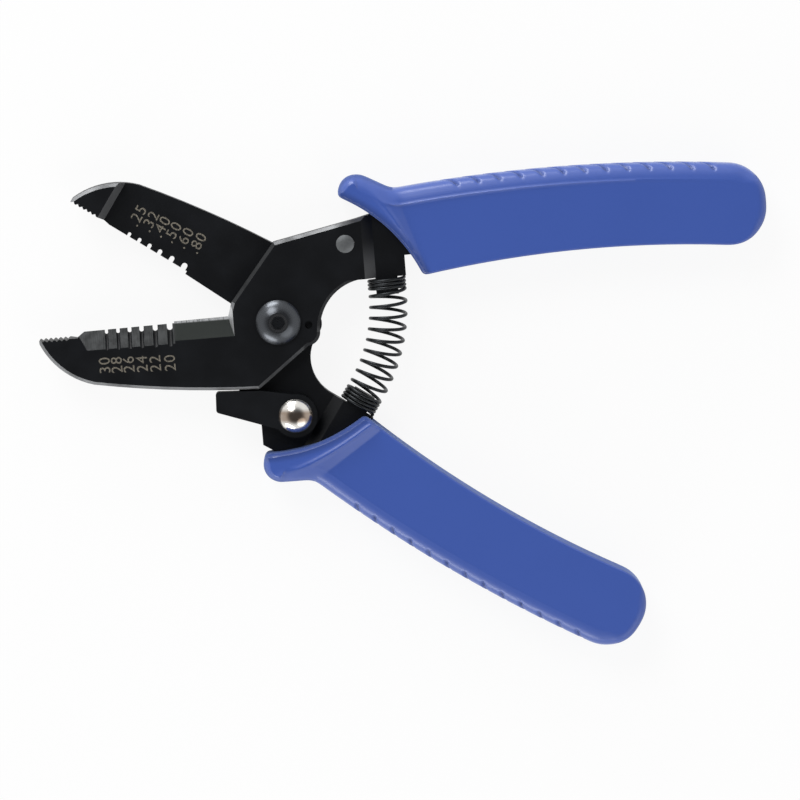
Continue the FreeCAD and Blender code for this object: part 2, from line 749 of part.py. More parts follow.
def make_grip(label, side):
    """Moulded sleeve over the tang, with a finger guard and a hollowed rim."""
    body = new_body(label)
    end = size(f"{side}_grip_end")
    seat = size(f"{side}_grip_seat")
    guard_height = size(f"{side}_guard_height")
    rim_inner = (size(f"{side}_rim_place") + seat, size(f"{side}_inner_start"))
    end_inner = (end, size("grip_inner_end"))
    end_outer = (end, size("grip_outer_end"))
    behind_guard = (size("grip_outer_place") + seat, size(f"{side}_outer_start"))
    guard_back = (size("guard_back") + seat, guard_height)
    guard_front = (size("guard_front") + seat, guard_height)
    rim_outer = (size("guard_foot_place") + seat, size("guard_foot_height"))
    sketch = new_sketch(body, "outline")
    draw_loop(sketch, [
        (*end_inner, -size("grip_inner_round")),
        end_outer,
        (*behind_guard, size("grip_outer_round")),
        guard_back,
        guard_front,
        rim_outer,
        (*rim_inner, -size("rim_round")),
    ])
    pad(body, "blank", sketch, size("grip_thickness"), symmetric=True)
    soften(body, "Fillet", "end_corners", upright_at([end_inner, end_outer]), "Radius", size("grip_end_round"))
    soften(body, "Fillet", "guard_corners", upright_at([guard_back, guard_front]), "Radius", size("guard_round"))
    soften(body, "Fillet", "guard_hollow", upright_at([behind_guard]), "Radius", size("guard_hollow"))
    half = size("grip_thickness") / 2
    level = flat_at(half)
    rim_middle = rim_arc_middle(rim_outer, rim_inner)
    soften(body, "Fillet", "long_edges", lambda edge: level(edge) and not passes(edge, rim_middle),
           "Radius", size("grip_edge_round"))
    hollow_for_tang(body, side)
    return body


def rim_arc_middle(rim_outer, rim_inner):
    start = Vector(rim_outer[0].value, rim_outer[1].value, 0)
    end = Vector(rim_inner[0].value, rim_inner[1].value, 0)
    arc = arc_between(start, end, -size("rim_round").value)
    return arc.value((arc.FirstParameter + arc.LastParameter) / 2)


def passes(edge, place):
    """True when the edge runs past the place, seen in plan."""
    point = Part.Vertex(Vector(place.x, place.y, edge.BoundBox.ZMin))
    return edge.distToShape(point)[0] < 1e-3


def hollow_for_tang(body, side):
    """Slot that the tang is pushed into, and the deeper mouth for the bent arm."""
    fit = size("grip_fit")
    tip, foot = shoulder_of(side)
    mouth = foot[0] - CUT_MARGIN
    floor = size("seat_height") - size("tab_length")
    round_shoulder = [
        (tip[0] - fit, tip[1] + fit),
        (foot[0] - fit, foot[1] + fit),
        (mouth, foot[1] + fit),
    ]
    slot = new_sketch(body, "tang_slot")
    draw_loop(slot, [
        (mouth, floor),
        (size("seat_end") + fit, floor),
        (size("seat_end") + fit, size("tang_inner") - fit),
        (size("tang_length") + fit, size("tang_inner_end") - fit),
        (size("tang_length") + fit, size("tang_outer_end") + fit, size("tang_round")),
        *round_shoulder,
    ])
    pocket(body, "slot", slot, THICK, symmetric=True)
    deep = new_sketch(body, "mouth", lift=THICK)
    draw_loop(deep, [
        (mouth, floor),
        (size("mouth_reach"), floor),
        (size("mouth_reach"), size("shoulder_tip_height") + fit),
        *round_shoulder,
    ])
    pocket(body, "mouth_slot", deep, THICK)


def spring_axis(length):
    """Axis of the spring at rest, from the upper tab: point, tangent and outward side."""
    lean = math.radians(HALF_OPEN.value)
    seat = Vector(size("tab_place").value, size("seat_height").value, 0)
    seat = Rotation(Vector(0, 0, 1), HALF_OPEN.value).multVec(seat)
    straight = size("spring_straight").value
    down = Vector(math.sin(lean), -math.cos(lean), 0)
    bend_start = seat + down * straight
    radius = bend_start.y / math.sin(lean)
    centre = Vector(bend_start.x - radius * math.cos(lean), 0, 0)
    whole = 2 * straight + 2 * lean * radius
    if length < straight:
        angle = lean
        point = seat + down * length
    elif length > whole - straight:
        angle = -lean
        up = Vector(math.sin(lean), math.cos(lean), 0)
        point = Vector(seat.x, -seat.y, 0) + up * (whole - length)
    else:
        angle = lean - (length - straight) / radius
        point = centre + Vector(math.cos(angle), math.sin(angle), 0) * radius
    outward = Vector(math.cos(angle), math.sin(angle), 0)
    return point, outward, whole


def spring_points(per_turn):
    """Middle of the wire, turn by turn, closed on both tabs and open between them."""
    wire = size("spring_wire").value
    radius = (size("spring_diameter").value - wire) / 2
    upper = size("spring_closed_upper").value
    lower = size("spring_closed_lower").value
    free = size("spring_open_turns").value
    closed_pitch = wire + size("spring_closed_gap").value
    whole = spring_axis(0)[2]
    lead = wire / 2 + size("axial_gap").value
    open_pitch = (whole - 2 * lead - closed_pitch * (upper + lower)) / free
    points = []
    for step in range(int((upper + free + lower) * per_turn) + 1):
        turn = step / per_turn
        length = lead + closed_pitch * min(turn, upper)
        length += open_pitch * min(max(turn - upper, 0), free)
        length += closed_pitch * max(turn - upper - free, 0)
        point, outward, _ = spring_axis(length)
        swing = math.radians(360) * turn
        points.append(point + outward * (radius * math.cos(swing)) + Vector(0, 0, radius * math.sin(swing)))
    return points


def make_return_spring():
    """Coil spring bent a little between the two tabs."""
    points = spring_points(per_turn=12)
    curve = Part.BSplineCurve()
    curve.interpolate(points)
    path = Part.Wire([curve.toShape()])
    wire_radius = size("spring_wire").value / 2
    start = curve.FirstParameter
    section = Part.Wire([Part.Circle(curve.value(start), curve.tangent(start)[0], wire_radius).toShape()])
    sweep = Part.BRepOffsetAPI.MakePipeShell(path)
    sweep.setFrenetMode(True)
    sweep.add(section)
    sweep.build()
    sweep.makeSolid()
    feature = doc.addObject("Part::Feature", "return_spring")
    feature.Label = "return_spring"
    feature.Shape = sweep.shape()
    expected = math.pi * wire_radius ** 2 * path.Length
    if abs(feature.Shape.Volume / expected - 1) > 0.02:
        raise RuntimeError("return spring is not a clean sweep")
    return feature


def turn_about_z(angle):
    return Placement(Vector(0, 0, 0), Rotation(Vector(0, 0, 1), angle))


def build():
    """All sub-parts with their rest placement about the pivot."""
    half = HALF_OPEN.value
    front = turn_about_z(half)
    rear = turn_about_z(-half)
    flipped = Placement(Vector(0, 0, 0), Rotation(Vector(1, 0, 0), 180))
    pin = Placement(Vector(size("pin_place").value, size("pin_height").value, 0), Rotation())
    rivet = Placement(Vector(size("rivet_place").value, -size("rivet_drop").value, 0), Rotation())
    along_belly = turn_about_z(180 + 2 * half - size("belly_slope").value)
    return [
        (make_front_plate(), front),
        (make_rear_plate(), rear.multiply(flipped)),
        (make_pivot_screw(), rear),
        (make_pivot_nut(), rear),
        (make_stop_pin(), front.multiply(pin)),
        (make_lock_lever(), rear.multiply(rivet).multiply(along_belly)),
        (make_lock_rivet(), rear.multiply(rivet)),
        (make_lock_washer(), rear.multiply(rivet)),
        (make_grip("upper_grip", "front"), front),
        (make_grip("lower_grip", "rear"), rear.multiply(flipped)),
        (make_return_spring(), Placement()),
    ]


def stand_on_ground(pieces):
    """Moves all pieces together, so that the origin is under the middle of the whole."""
    for piece, place in pieces:
        piece.Placement = place
    doc.recompute()
    whole = FreeCAD.BoundBox()
    for piece, _ in pieces:
        whole.add(piece.Shape.optimalBoundingBox(False, False))
    shift = Placement(Vector(-whole.Center.x, -whole.Center.y, -whole.ZMin), Rotation())
    for piece, place in pieces:
        piece.Placement = shift.multiply(place)
    doc.recompute()
    return shift.Base, whole


def check(pieces):
    for item in doc.Objects:
        if "Invalid" in item.State or "Error" in item.State:
            raise RuntimeError(f"{item.Label} failed: {item.State}")
    for piece, _ in pieces:
        shape = piece.Shape
        if shape.isNull() or not shape.isValid() or not shape.Solids:
            raise RuntimeError(f"{piece.Label} has no valid solid")


def export(pieces):
    os.makedirs("parts", exist_ok=True)
    for piece, _ in pieces:
        piece.Shape.exportStep(f"parts/{piece.Label}.step")


def report_places(pieces, pivot):
    """Places that the joints turn about, in the model's own frame."""
    names = [piece.Label for piece, _ in pieces]
    rivet = pieces[names.index("lock_rivet")][0].Placement.Base
    print("pivot", [round(value, 3) for value in pivot])
    print("lock rivet", [round(value, 3) for value in rivet])
    for piece, _ in pieces:
        box = piece.Shape.optimalBoundingBox(False, False)
        low = [round(value, 2) for value in (box.XMin, box.YMin, box.ZMin)]
        high = [round(value, 2) for value in (box.XMax, box.YMax, box.ZMax)]
        print(piece.Label, len(piece.Shape.Solids), round(piece.Shape.Volume, 1), low, high)


sub_parts = build()
pivot_place, _ = stand_on_ground(sub_parts)
check(sub_parts)
export(sub_parts)
report_places(sub_parts, pivot_place)
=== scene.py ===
"""Looks of the wire stripping pliers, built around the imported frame."""
import json
import math

import bmesh
import bpy
import numpy as np
from mathutils import Euler, Matrix, Vector
from mathutils.geometry import delaunay_2d_cdt


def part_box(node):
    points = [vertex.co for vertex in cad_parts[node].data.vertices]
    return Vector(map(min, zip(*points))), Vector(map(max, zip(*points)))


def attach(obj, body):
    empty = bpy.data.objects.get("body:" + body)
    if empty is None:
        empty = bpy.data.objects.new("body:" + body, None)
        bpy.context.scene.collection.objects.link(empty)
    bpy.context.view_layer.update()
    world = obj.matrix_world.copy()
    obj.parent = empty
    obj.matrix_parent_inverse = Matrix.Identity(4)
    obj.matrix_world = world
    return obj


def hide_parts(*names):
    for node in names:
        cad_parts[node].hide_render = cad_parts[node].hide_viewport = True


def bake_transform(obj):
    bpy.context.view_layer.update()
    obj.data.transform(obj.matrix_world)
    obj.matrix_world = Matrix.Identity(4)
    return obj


bl_info = {
    "name": "Wire stripping pliers",
    "version": (1, 0, 0),
    "blender": (4, 5, 0),
    "location": "View3D > Sidebar > Pliers",
    "description": "Grips, return spring, gauge numbers and finishes of wire stripping pliers",
    "category": "Object",
}

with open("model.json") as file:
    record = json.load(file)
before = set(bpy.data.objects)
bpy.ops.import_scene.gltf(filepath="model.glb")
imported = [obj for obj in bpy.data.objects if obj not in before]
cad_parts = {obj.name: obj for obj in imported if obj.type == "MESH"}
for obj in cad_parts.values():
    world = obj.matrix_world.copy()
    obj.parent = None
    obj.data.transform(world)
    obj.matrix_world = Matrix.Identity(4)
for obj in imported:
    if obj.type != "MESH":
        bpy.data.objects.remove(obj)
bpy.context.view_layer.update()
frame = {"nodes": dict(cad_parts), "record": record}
JOINTS = {joint["name"]: joint for joint in frame["record"]["behaviour"]["joints"]}
PIVOT = Vector(JOINTS["jaw_pivot"]["pos_m"])
RIVET = Vector(JOINTS["lock_pivot"]["pos_m"])
MM = 0.001
PICTURE_SIDE = 800
SENSOR = 36.0

# Corners of the grips in the handle's own frame: x along the handle from the pivot, y outwards, in mm.
# The bead is a share of the crease's full rise.
GRIPS = {
    "upper_grip": {
        "body": "front_half",
        "end": 115.6,
        "rim_outer": (16.0, 28.2),
        "rim_inner": (34.6, 8.3),
        "behind_guard": (28.8, 28.8),
        "collar_outer": (29.2, 29.6),
        "collar_inner": (36.2, 8.0),
        "first_groove": 41.0,
        "groove_reach": 4.35,
        "bead": 1.7,
    },
    "lower_grip": {
        "body": "rear_half",
        "end": 109.2,
        "rim_outer": (13.0, 28.2),
        "rim_inner": (28.4, 8.65),
        "behind_guard": (25.8, 28.0),
        "collar_outer": (26.0, 28.4),
        "collar_inner": (34.0, 8.2),
        "first_groove": 40.3,
        "groove_reach": 4.2,
        "bead": 0.5,
    },
}
END_INNER_HEIGHT = 8.4
END_OUTER_HEIGHT = 27.6

# Depth below the middle plane where the CAD grip's wall is plain, for its outline
PLAIN_WALL = 2.6 * MM

# Rings of points from the flat face to the wall: inset as a share of the band's width, share of the bead
FLAT_RING = 1.22
BEAD_RINGS = [(FLAT_RING, 0.0), (1.08, 0.0), (1.0, 1.0), (0.93, 0.0)]
EDGE_STEPS = 12
EDGE_RINGS = [((1 - step / EDGE_STEPS) ** 2, 0.0) for step in range(1, EDGE_STEPS + 1)]
WALL_STEPS = 8

# The bead fades to nothing over this length before the end of the grip
BEAD_FADE = 70 * MM

# Rounds of smoothing of a grip's outline, its edge bands and its inward directions
OUTLINE_ROUNDS = 16
BAND_ROUNDS = 60
INWARD_ROUNDS = 6

# Run of an inset ring beside the outline's, under which a band is made narrower
LEAST_RUN = 0.12

# Edges of a grip that turn more than this stay sharp
SHARP_EDGE = math.radians(50)

# Section of the collar from its crease to the rim: places as shares of its width, heights of its height
COLLAR_RIDGE = 0.50
COLLAR_FALL = 1.30
COLLAR_SOFTNESS = 0.01
CREST_PLACE = 0.52
CREST_WIDTH = 0.08
CREST_RISE = 0.22
COLLAR_TOP = 1.2
COLLAR_ROOM = 1.25
FULL_COLLAR_WIDTH = 5.0 * MM

# Spacing of the points inside a grip's face: fine at the collar and for a margin in mm, then coarse
FINE_GRID = 0.32 * MM
COARSE_GRID = 1.3 * MM
ROW_SHARE = 0.87
COLLAR_MARGIN = 3.0

# Points in a turn of the spring and round its wire
POINTS_PER_TURN = 40
WIRE_POINTS = 12

# Directions in a half's own frame: along it and across it, the ground bevel behind the blades
# and the ramp beside the cutter
LENGTHWAYS = Vector((1.0, 0.0, 0.0))
SIDEWAYS = Vector((0.0, 1.0, 0.0))
BEVEL_NORMAL = Vector((0.0, math.sin(math.radians(35)), math.cos(math.radians(35))))
RAMP_NORMAL = Vector((-0.9306, 0.0, 0.366))

# Broken edges of the hub, as painted shade: beside the other jaw it keeps its oxide, beside the lever a part
# of it
SHADED_HUB_NORMAL = Vector((-0.548, 0.448, 0.707))
HUB_EDGE_NORMAL = Vector((0.428, -0.562, 0.707))

# Soft limits of a half's finishes along it from the pivot, in mm
NOSE_END = (-46.5, -46.0)
BLADES_START = (-43.5, -43.0)
BLADES_END = (-24.5, -24.0)
CUTTER_START = (-24.6, -24.0)
ARM_START = (0.0, 10.0)
CUTOUT_START = (4.0, 6.0)

# Soft limits of a half's finishes outwards from the middle line, in mm
NOTCH_FOOT = (-6.0, -5.0)
KEEN_EDGE = (1.25, 1.65)
ARM_EDGE = (10.0, 18.0)
CUTOUT_EDGE = (11.0, 13.0)

# Soft limits of other finishes, in mm: a grip's rim darkened as painted shade, the painted highlight ring
# round the screw's socket and the half width of the rivet's painted reflection band, which lies across a
# direction
RIM_SHADE = (0.6, 2.4)
MOUTH_START = (1.45, 1.6)
MOUTH_END = (2.0, 2.5)
REFLECTION_REACH = (0.7, 2.0)
REFLECTION_ACROSS = Vector((-0.223, 0.975, 0.0))

# Turning rings on round metal, in radians per metre
TURNING_RINGS = 26000.0

# Numbers beside the wire notches: place along the jaw and foot across it in mm, number
FRONT_NUMBERS = [
    (-41.0, -8.8, "30"), (-38.2, -8.9, "28"), (-35.4, -9.0, "26"),
    (-32.3, -9.15, "24"), (-29.2, -9.3, "22"), (-25.8, -9.45, "20"),
]
REAR_NUMBERS = [
    (-40.6, 2.35, ".25"), (-37.4, 2.65, ".32"), (-34.5, 2.9, ".40"),
    (-31.6, 3.1, ".50"), (-28.5, 3.35, ".60"), (-25.3, 3.85, ".80"),
]

# Height of a figure as a share of the font's size, and the space between figures
FIGURE_SHARE = 0.70
FIGURE_SPACING = 1.12

# Soft lamps aimed at the middle of the pliers: place, width and height in metres, power in watts
LAMPS = {
    "key_lamp": ((-0.8, 0.8, 1.0), 0.8, 0.8, 9.0),
    "low_lamp": ((-0.30, -1.24, 0.35), 1.0, 0.45, 5.6),
    "edge_lamp": ((-0.70, 1.06, 0.24), 0.8, 0.42, 8.0),
    "fill_lamp": ((0.9, -0.7, 1.0), 1.2, 1.2, 4.0),
}

# Gap under the pliers, and the share of plain white in the floor that the camera sees
FLOOR_GAP = 0.2 * MM
FLOOR_WHITE = 0.90


# Property groups


def length(name, description, millimetres):
    """Length property, given in millimetres."""
    return bpy.props.FloatProperty(
        name=name, description=description, default=millimetres * MM, unit="LENGTH")


def angle(name, description, degrees):
    """Angle property, given in degrees."""
    return bpy.props.FloatProperty(
        name=name, description=description, default=math.radians(degrees), subtype="ANGLE")


def number(name, description, value):
    """Plain number property."""
    return bpy.props.FloatProperty(name=name, description=description, default=value)


def colour(name, description, *value):
    """Colour property, as linear red, green and blue."""
    return bpy.props.FloatVectorProperty(
        name=name, description=description, size=3, subtype="COLOR", default=value)


class GripSizes(bpy.types.PropertyGroup):
    """Edge bands, collar and finger grooves of the moulded grips."""

    spacing: length("Spacing", "Distance between points round the outline", 0.27)
    outer_band: length("Outer band", "Width of the sloping band along the outer edge", 3.8)
    outer_drop: length("Outer drop", "Height of the sloping band along the outer edge", 3.9)
    outer_slope: angle("Outer slope", "Slope of the band where it leaves the flat face", 9)
    outer_bead: length("Outer bead", "Rise of the crease between the flat face and the band", 0.15)
    inner_round: length("Inner rounding", "Rounding of the inner edge", 0.6)
    end_round: length("End rounding", "Rounding of the far end", 2.2)
    guard_round: length("Guard rounding", "Rounding of the finger guard", 3.4)
    rim_round: length("Rim rounding", "Rounding of the rim", 0.6)
    collar_height: length("Collar height", "Rise of the collar behind the rim", 1.1)
    groove_pitch: length("Groove pitch", "Distance between finger grooves", 5.0)
    groove_count: bpy.props.IntProperty(
        name="Grooves", description="Finger grooves along the outer edge", default=13)
    groove_width: length("Groove width", "Width of a finger groove", 1.3)
    groove_depth: length("Groove depth", "Depth of a finger groove", 0.55)
    groove_slant: angle("Groove slant", "Slant of the grooves across the wall", 38)


class SpringSizes(bpy.types.PropertyGroup):
    """Coil of the return spring."""

    wire: length("Wire", "Diameter of the wire", 0.8)
    diameter: length("Diameter", "Outside diameter of the coil", 9.1)
    upper_turns: number("Upper turns", "Closed turns on the upper tab", 3.0)
    open_turns: number("Open turns", "Open turns between the tabs", 9.0)
    lower_turns: number("Lower turns", "Closed turns on the lower tab", 4.0)
    closed_gap: length("Closed gap", "Gap between closed turns", 0.06)
    straight: length("Straight", "Straight length of the axis at each tab", 4.6)
    seat_place: length("Seat place", "Pivot to the tab, along the handle", 26.0)
    seat_height: length("Seat height", "Seat above the middle line", 8.4)
    seat_gap: length("Seat gap", "Gap between the first turn and its seat", 0.03)


class NumberSizes(bpy.types.PropertyGroup):
    """Gauge numbers marked beside the wire notches."""

    height: length("Height", "Height of a figure", 2.6)
    thickness: length("Thickness", "Thickness of the marking", 0.012)
    front_face: length("Front face", "Front plate's outer face above the lap", 3.5)
    rear_face: length("Rear face", "Rear plate's face at the lap", -0.03)


class Finishes(bpy.types.PropertyGroup):
    """Colours of the finishes."""

    grip_blue: colour("Grip", "Moulded grips", 0.041, 0.091, 0.375)
    oxide: colour("Black oxide", "Plates and lock lever", 0.0028, 0.0034, 0.0046)
    ground: colour("Ground steel", "Ground edges of the jaws", 0.042, 0.044, 0.045)
    cutter: colour("Cutter", "Ground edge of the wire cutter", 0.015, 0.017, 0.016)
    # This colour is also the painted highlight on the bends and round the screw's socket
    edge: colour("Worn edge", "Broken edges where the oxide is rubbed", 0.20, 0.204, 0.21)
    screw: colour("Screw", "Pivot screw and nut", 0.075, 0.08, 0.088)
    ramp: colour("Bright ramp", "Ground ramp beside the cutter", 0.60, 0.61, 0.62)
    steel: colour("Bare steel", "Stop pin and washer", 0.22, 0.23, 0.235)
    # The rivet's band in this colour is a painted reflection
    painted_reflection: colour("Tarnish", "Stained band on the rivet", 0.24, 0.15, 0.09)
    chrome: colour("Bright rivet", "Lock rivet", 0.80, 0.78, 0.74)
    wire: colour("Spring wire", "Return spring", 0.030, 0.032, 0.034)
    marking: colour("Marking", "Gauge numbers", 0.19, 0.172, 0.138)


class StageSizes(bpy.types.PropertyGroup):
    """Camera and floor."""

    distance: length("Distance", "Camera to the pivot", 1200)
    pixels_per_metre: number("Scale", "Pixels per metre at the pivot", 4277.0)
    pivot_across: number("Pivot across", "Pixel column of the pivot", 278.3)
    pivot_down: number("Pivot down", "Pixel row of the pivot", 320.95)
    tilt: angle("Tilt", "Camera leaning towards the upper grip", 6.0)
    lean: angle("Lean", "Camera leaning to the right", -0.945)
    roll: angle("Roll", "Camera turned about its axis", 12.88)
    floor_side: length("Floor", "Side of the floor", 6000)


class PliersSettings(bpy.types.PropertyGroup):
    """All sizes and colours of the pliers."""

    half_opening: angle("Half opening", "Angle of each half from the middle line", 17.4)
    grips: bpy.props.PointerProperty(type=GripSizes)
    spring: bpy.props.PointerProperty(type=SpringSizes)
    numbers: bpy.props.PointerProperty(type=NumberSizes)
    finishes: bpy.props.PointerProperty(type=Finishes)
    stage: bpy.props.PointerProperty(type=StageSizes)


def settings():
    return bpy.context.scene.pliers


# Node trees


class Value:
    """Output socket of a node; expressions on it add Math nodes."""

    def __init__(self, tree, socket):
        self.tree = tree
        self.socket = socket

    def math(self, operation, *values):
        return self.tree.add("ShaderNodeMath", {"operation": operation}, values)

    def __add__(self, other):
        return self.math("ADD", self, other)

    def __radd__(self, other):
        return self.math("ADD", other, self)

    def __sub__(self, other):
        return self.math("SUBTRACT", self, other)

    def __rsub__(self, other):
        return self.math("SUBTRACT", other, self)

    def __mul__(self, other):
        return self.math("MULTIPLY", self, other)

    def __rmul__(self, other):
        return self.math("MULTIPLY", other, self)

    def __truediv__(self, other):
        return self.math("DIVIDE", self, other)

    def __rtruediv__(self, other):
        return self.math("DIVIDE", other, self)

    def __gt__(self, other):
        return self.math("GREATER_THAN", self, other)

    def __lt__(self, other):
        return self.math("LESS_THAN", self, other)

    def at_least(self, other):
        return self.math("MAXIMUM", self, other)

    def at_most(self, other):
        return self.math("MINIMUM", self, other)

    def cosine(self):
        return self.math("COSINE", self)

    def sine(self):
        return self.math("SINE", self)

    def size(self):
        return self.math("ABSOLUTE", self)

    def root(self):
        return self.math("SQRT", self)

    def rounded(self):
        return self.math("ROUND", self)

    def step(self, low, high):
        """Smooth step from 0 at low to 1 at high."""
        return self.tree.add("ShaderNodeMapRange", {"interpolation_type": "SMOOTHSTEP"},
                             {"Value": self, "From Min": low, "From Max": high}, "Result")

    def past(self, limits):
        """Smooth step of a length over soft limits in millimetres."""
        low, high = limits
        return self.step(low * MM, high * MM)


class Tree:
    """A node tree with one way to add a node."""

    def __init__(self, tree):
        self.nodes = tree.nodes
        self.links = tree.links

    def feed(self, socket, value):
        if isinstance(value, Value):
            self.links.new(value.socket, socket)
        else:
            socket.default_value = value

    def add(self, kind, options=None, sockets=None, output=0):
        """Adds a node: its settings first, then the values or links of its sockets."""
        node = self.nodes.new(kind)
        for name, value in (options or {}).items():
            setattr(node, name, value)
        pairs = sockets.items() if isinstance(sockets, dict) else enumerate(sockets or ())
        for key, value in pairs:
            self.feed(node.inputs[key], value)
        return Value(self, node.outputs[output])

    def other(self, value, output):
        """Another output of the node that made a value."""
        return Value(self, value.socket.node.outputs[output])

    def parts(self, vector):
        first = self.add("ShaderNodeSeparateXYZ", None, (vector,), "X")
        return first, self.other(first, "Y"), self.other(first, "Z")

    def blend(self, factor, first, second):
        """Mix of two colours, whose sockets have numbers because their names repeat."""
        return self.add("ShaderNodeMix", {"data_type": "RGBA"}, {0: factor, 6: first, 7: second}, 2)


class Finish(Tree):
    """A material with its surface shader, the usual coordinates and the direction it faces."""

    def __init__(self, name):
        self.material = bpy.data.materials.new(name)
        self.material.use_nodes = True
        super().__init__(self.material.node_tree)
        self.nodes.clear()
        self.surface = self.add("ShaderNodeBsdfPrincipled")
        self.output = self.nodes.new("ShaderNodeOutputMaterial").inputs["Surface"]
        self.feed(self.output, self.surface)
        self.place = self.add("ShaderNodeTexCoord", None, None, "Object")
        self.facing = self.other(self.place, "Normal")

    def set(self, **values):
        """Values or links of the shader's sockets, named with underscores for spaces."""
        for name, value in values.items():
            self.feed(self.surface.socket.node.inputs[name.replace("_", " ")], value)

    def attribute(self, label):
        return self.add("ShaderNodeAttribute", {"attribute_name": label}, None, "Fac")

    def noise(self, scale, detail, place=None):
        return self.add("ShaderNodeTexNoise", None,
                        {"Vector": place or self.place, "Scale": scale, "Detail": detail}, "Fac")

    def stretched(self, x, y, z, turn):
        """Object coordinates turned about the upright axis, then scaled."""
        turned = self.add("ShaderNodeMapping", None, {"Vector": self.place, "Rotation": (0.0, 0.0, turn)})
        return self.add("ShaderNodeMapping", None, {"Vector": turned, "Scale": (x, y, z)})

    def upright(self):
        """Share of the facing direction that points straight up or down."""
        return self.parts(self.facing)[2].size()

    def aligned(self, vector, direction):
        """Share of a vector along a fixed direction."""
        return self.add("ShaderNodeVectorMath", {"operation": "DOT_PRODUCT"}, (vector, direction), "Value")

    def bump(self, height, strength, distance):
        return self.add("ShaderNodeBump", None,
                        {"Height": height, "Strength": strength, "Distance": distance})


class Shaper(Tree):
    """A Geometry Nodes tree with named inputs, applied to one object."""

    def __init__(self, name, inputs):
        self.group = bpy.data.node_groups.new(name, "GeometryNodeTree")
        super().__init__(self.group)
        face = self.group.interface
        for way in ("OUTPUT", "INPUT"):
            face.new_socket("Geometry", in_out=way, socket_type="NodeSocketGeometry")
        self.inputs = inputs
        self.keys = {}
        for label, value in inputs.items():
            kind = "NodeSocketInt" if isinstance(value, int) else "NodeSocketFloat"
            self.keys[label] = face.new_socket(label, in_out="INPUT", socket_type=kind).identifier
        self.source = self.nodes.new("NodeGroupInput")

    def __getitem__(self, label):
        """Value of a named input."""
        return Value(self, self.source.outputs[label])

    def attribute(self, label):
        return self.add("GeometryNodeInputNamedAttribute", {"data_type": "FLOAT"},
                        {"Name": label}, "Attribute")

    def stored(self, geometry, label, value):
        """Geometry with a number kept at each point."""
        return self.add("GeometryNodeStoreNamedAttribute", {"data_type": "FLOAT", "domain": "POINT"},
                        {"Geometry": geometry, "Name": label, "Value": value})

    def finish(self, geometry, material):
        whole = self.add("GeometryNodeRealizeInstances", None, {"Geometry": geometry})
        painted = self.add("GeometryNodeSetMaterial", None, {"Geometry": whole, "Material": material})
        self.feed(self.nodes.new("NodeGroupOutput").inputs["Geometry"], painted)

    def apply(self, obj):
        """Runs the tree on an object and leaves it with the plain mesh."""
        modifier = obj.modifiers.new("shape", "NODES")
        modifier.node_group = self.group
        for label, value in self.inputs.items():
            modifier[self.keys[label]] = value
        depsgraph = bpy.context.evaluated_depsgraph_get()
        mesh = bpy.data.meshes.new_from_object(
            obj.evaluated_get(depsgraph), preserve_all_data_layers=True, depsgraph=depsgraph)
        obj.modifiers.remove(modifier)
        obj.data = mesh


# Materials


def shade(base, share=1.0):
    """Opaque colour, made darker or lighter by a share."""
    return tuple(min(value * share, 1.0) for value in base) + (1.0,)


def moulded_plastic(colours):
    """Satin plastic of the grips, with painted shade at the rim, in the grooves and on the inner wall, which
    is dull too.
    """
    finish = Finish("moulded_plastic")
    blue = colours.grip_blue
    cloud = finish.noise(60.0, 3.0)
    grain = finish.noise(2600.0, 2.0)
    # Painted shade: the base colour darkens near the rim, in the finger grooves and on the inner wall
    rim = 1.0 - finish.attribute("rim_gap").past(RIM_SHADE)
    inner_wall = (1.0 - finish.attribute("outer")) * (1.0 - finish.upright().step(0.15, 0.70))
    painted_shade = (rim * 0.8).at_least(finish.attribute("groove")).at_least(inner_wall * 0.7)
    mottled = finish.blend(cloud * 0.7 + grain * 0.3, shade(blue, 0.94), shade(blue, 1.05))
    finish.set(
        Base_Color=finish.blend(painted_shade, mottled, shade(blue, 0.55)),
        Roughness=0.32 + 0.16 * grain + 0.5 * inner_wall,
        Normal=finish.bump(grain, 0.10, 0.00006),
        IOR=1.47,
        Coat_Weight=(0.25 + 0.2 * cloud) * (1.0 - inner_wall),
        Coat_Roughness=0.24,
        Sheen_Weight=0.3,
        Sheen_Roughness=0.35,
        Sheen_Tint=(0.55, 0.70, 1.0, 1.0),
    )
    return finish.material


class Oxide(Finish):
    """Blackened steel, whose oxide is rubbed along the broken edges."""

    def __init__(self, name, colours):
        super().__init__(name)
        cloud = self.noise(140.0, 4.0)
        grain = self.noise(3200.0, 2.0)
        self.up = self.upright()
        self.black = self.blend(cloud.step(0.35, 0.75) * 0.8 + grain * 0.2,
                                shade(colours.oxide, 0.8), shade(colours.oxide, 1.5))
        self.rough = 0.34 + 0.14 * cloud + 0.08 * grain
        broken = self.up.step(0.60, 0.66) * (1.0 - self.up.step(0.76, 0.80))
        self.rubbed = broken * (0.35 + 0.65 * cloud.step(0.30, 0.60))
        self.set(Specular_IOR_Level=0.22, Normal=self.bump(grain * 0.7 + cloud * 0.3, 0.08, 0.00004))

    def faces(self, direction, low, high):
        """1 where the surface faces a direction, softly between two cosines."""
        return self.aligned(self.facing, direction).step(low, high)


def plain_oxide(colours, name):
    """Black oxide of the lock lever."""
    finish = Oxide(name, colours)
    finish.set(
        Base_Color=finish.blend(finish.rubbed, finish.black, shade(colours.edge)),
        Roughness=finish.rough,
        Metallic=finish.rubbed * 0.6,
    )
    return finish.material


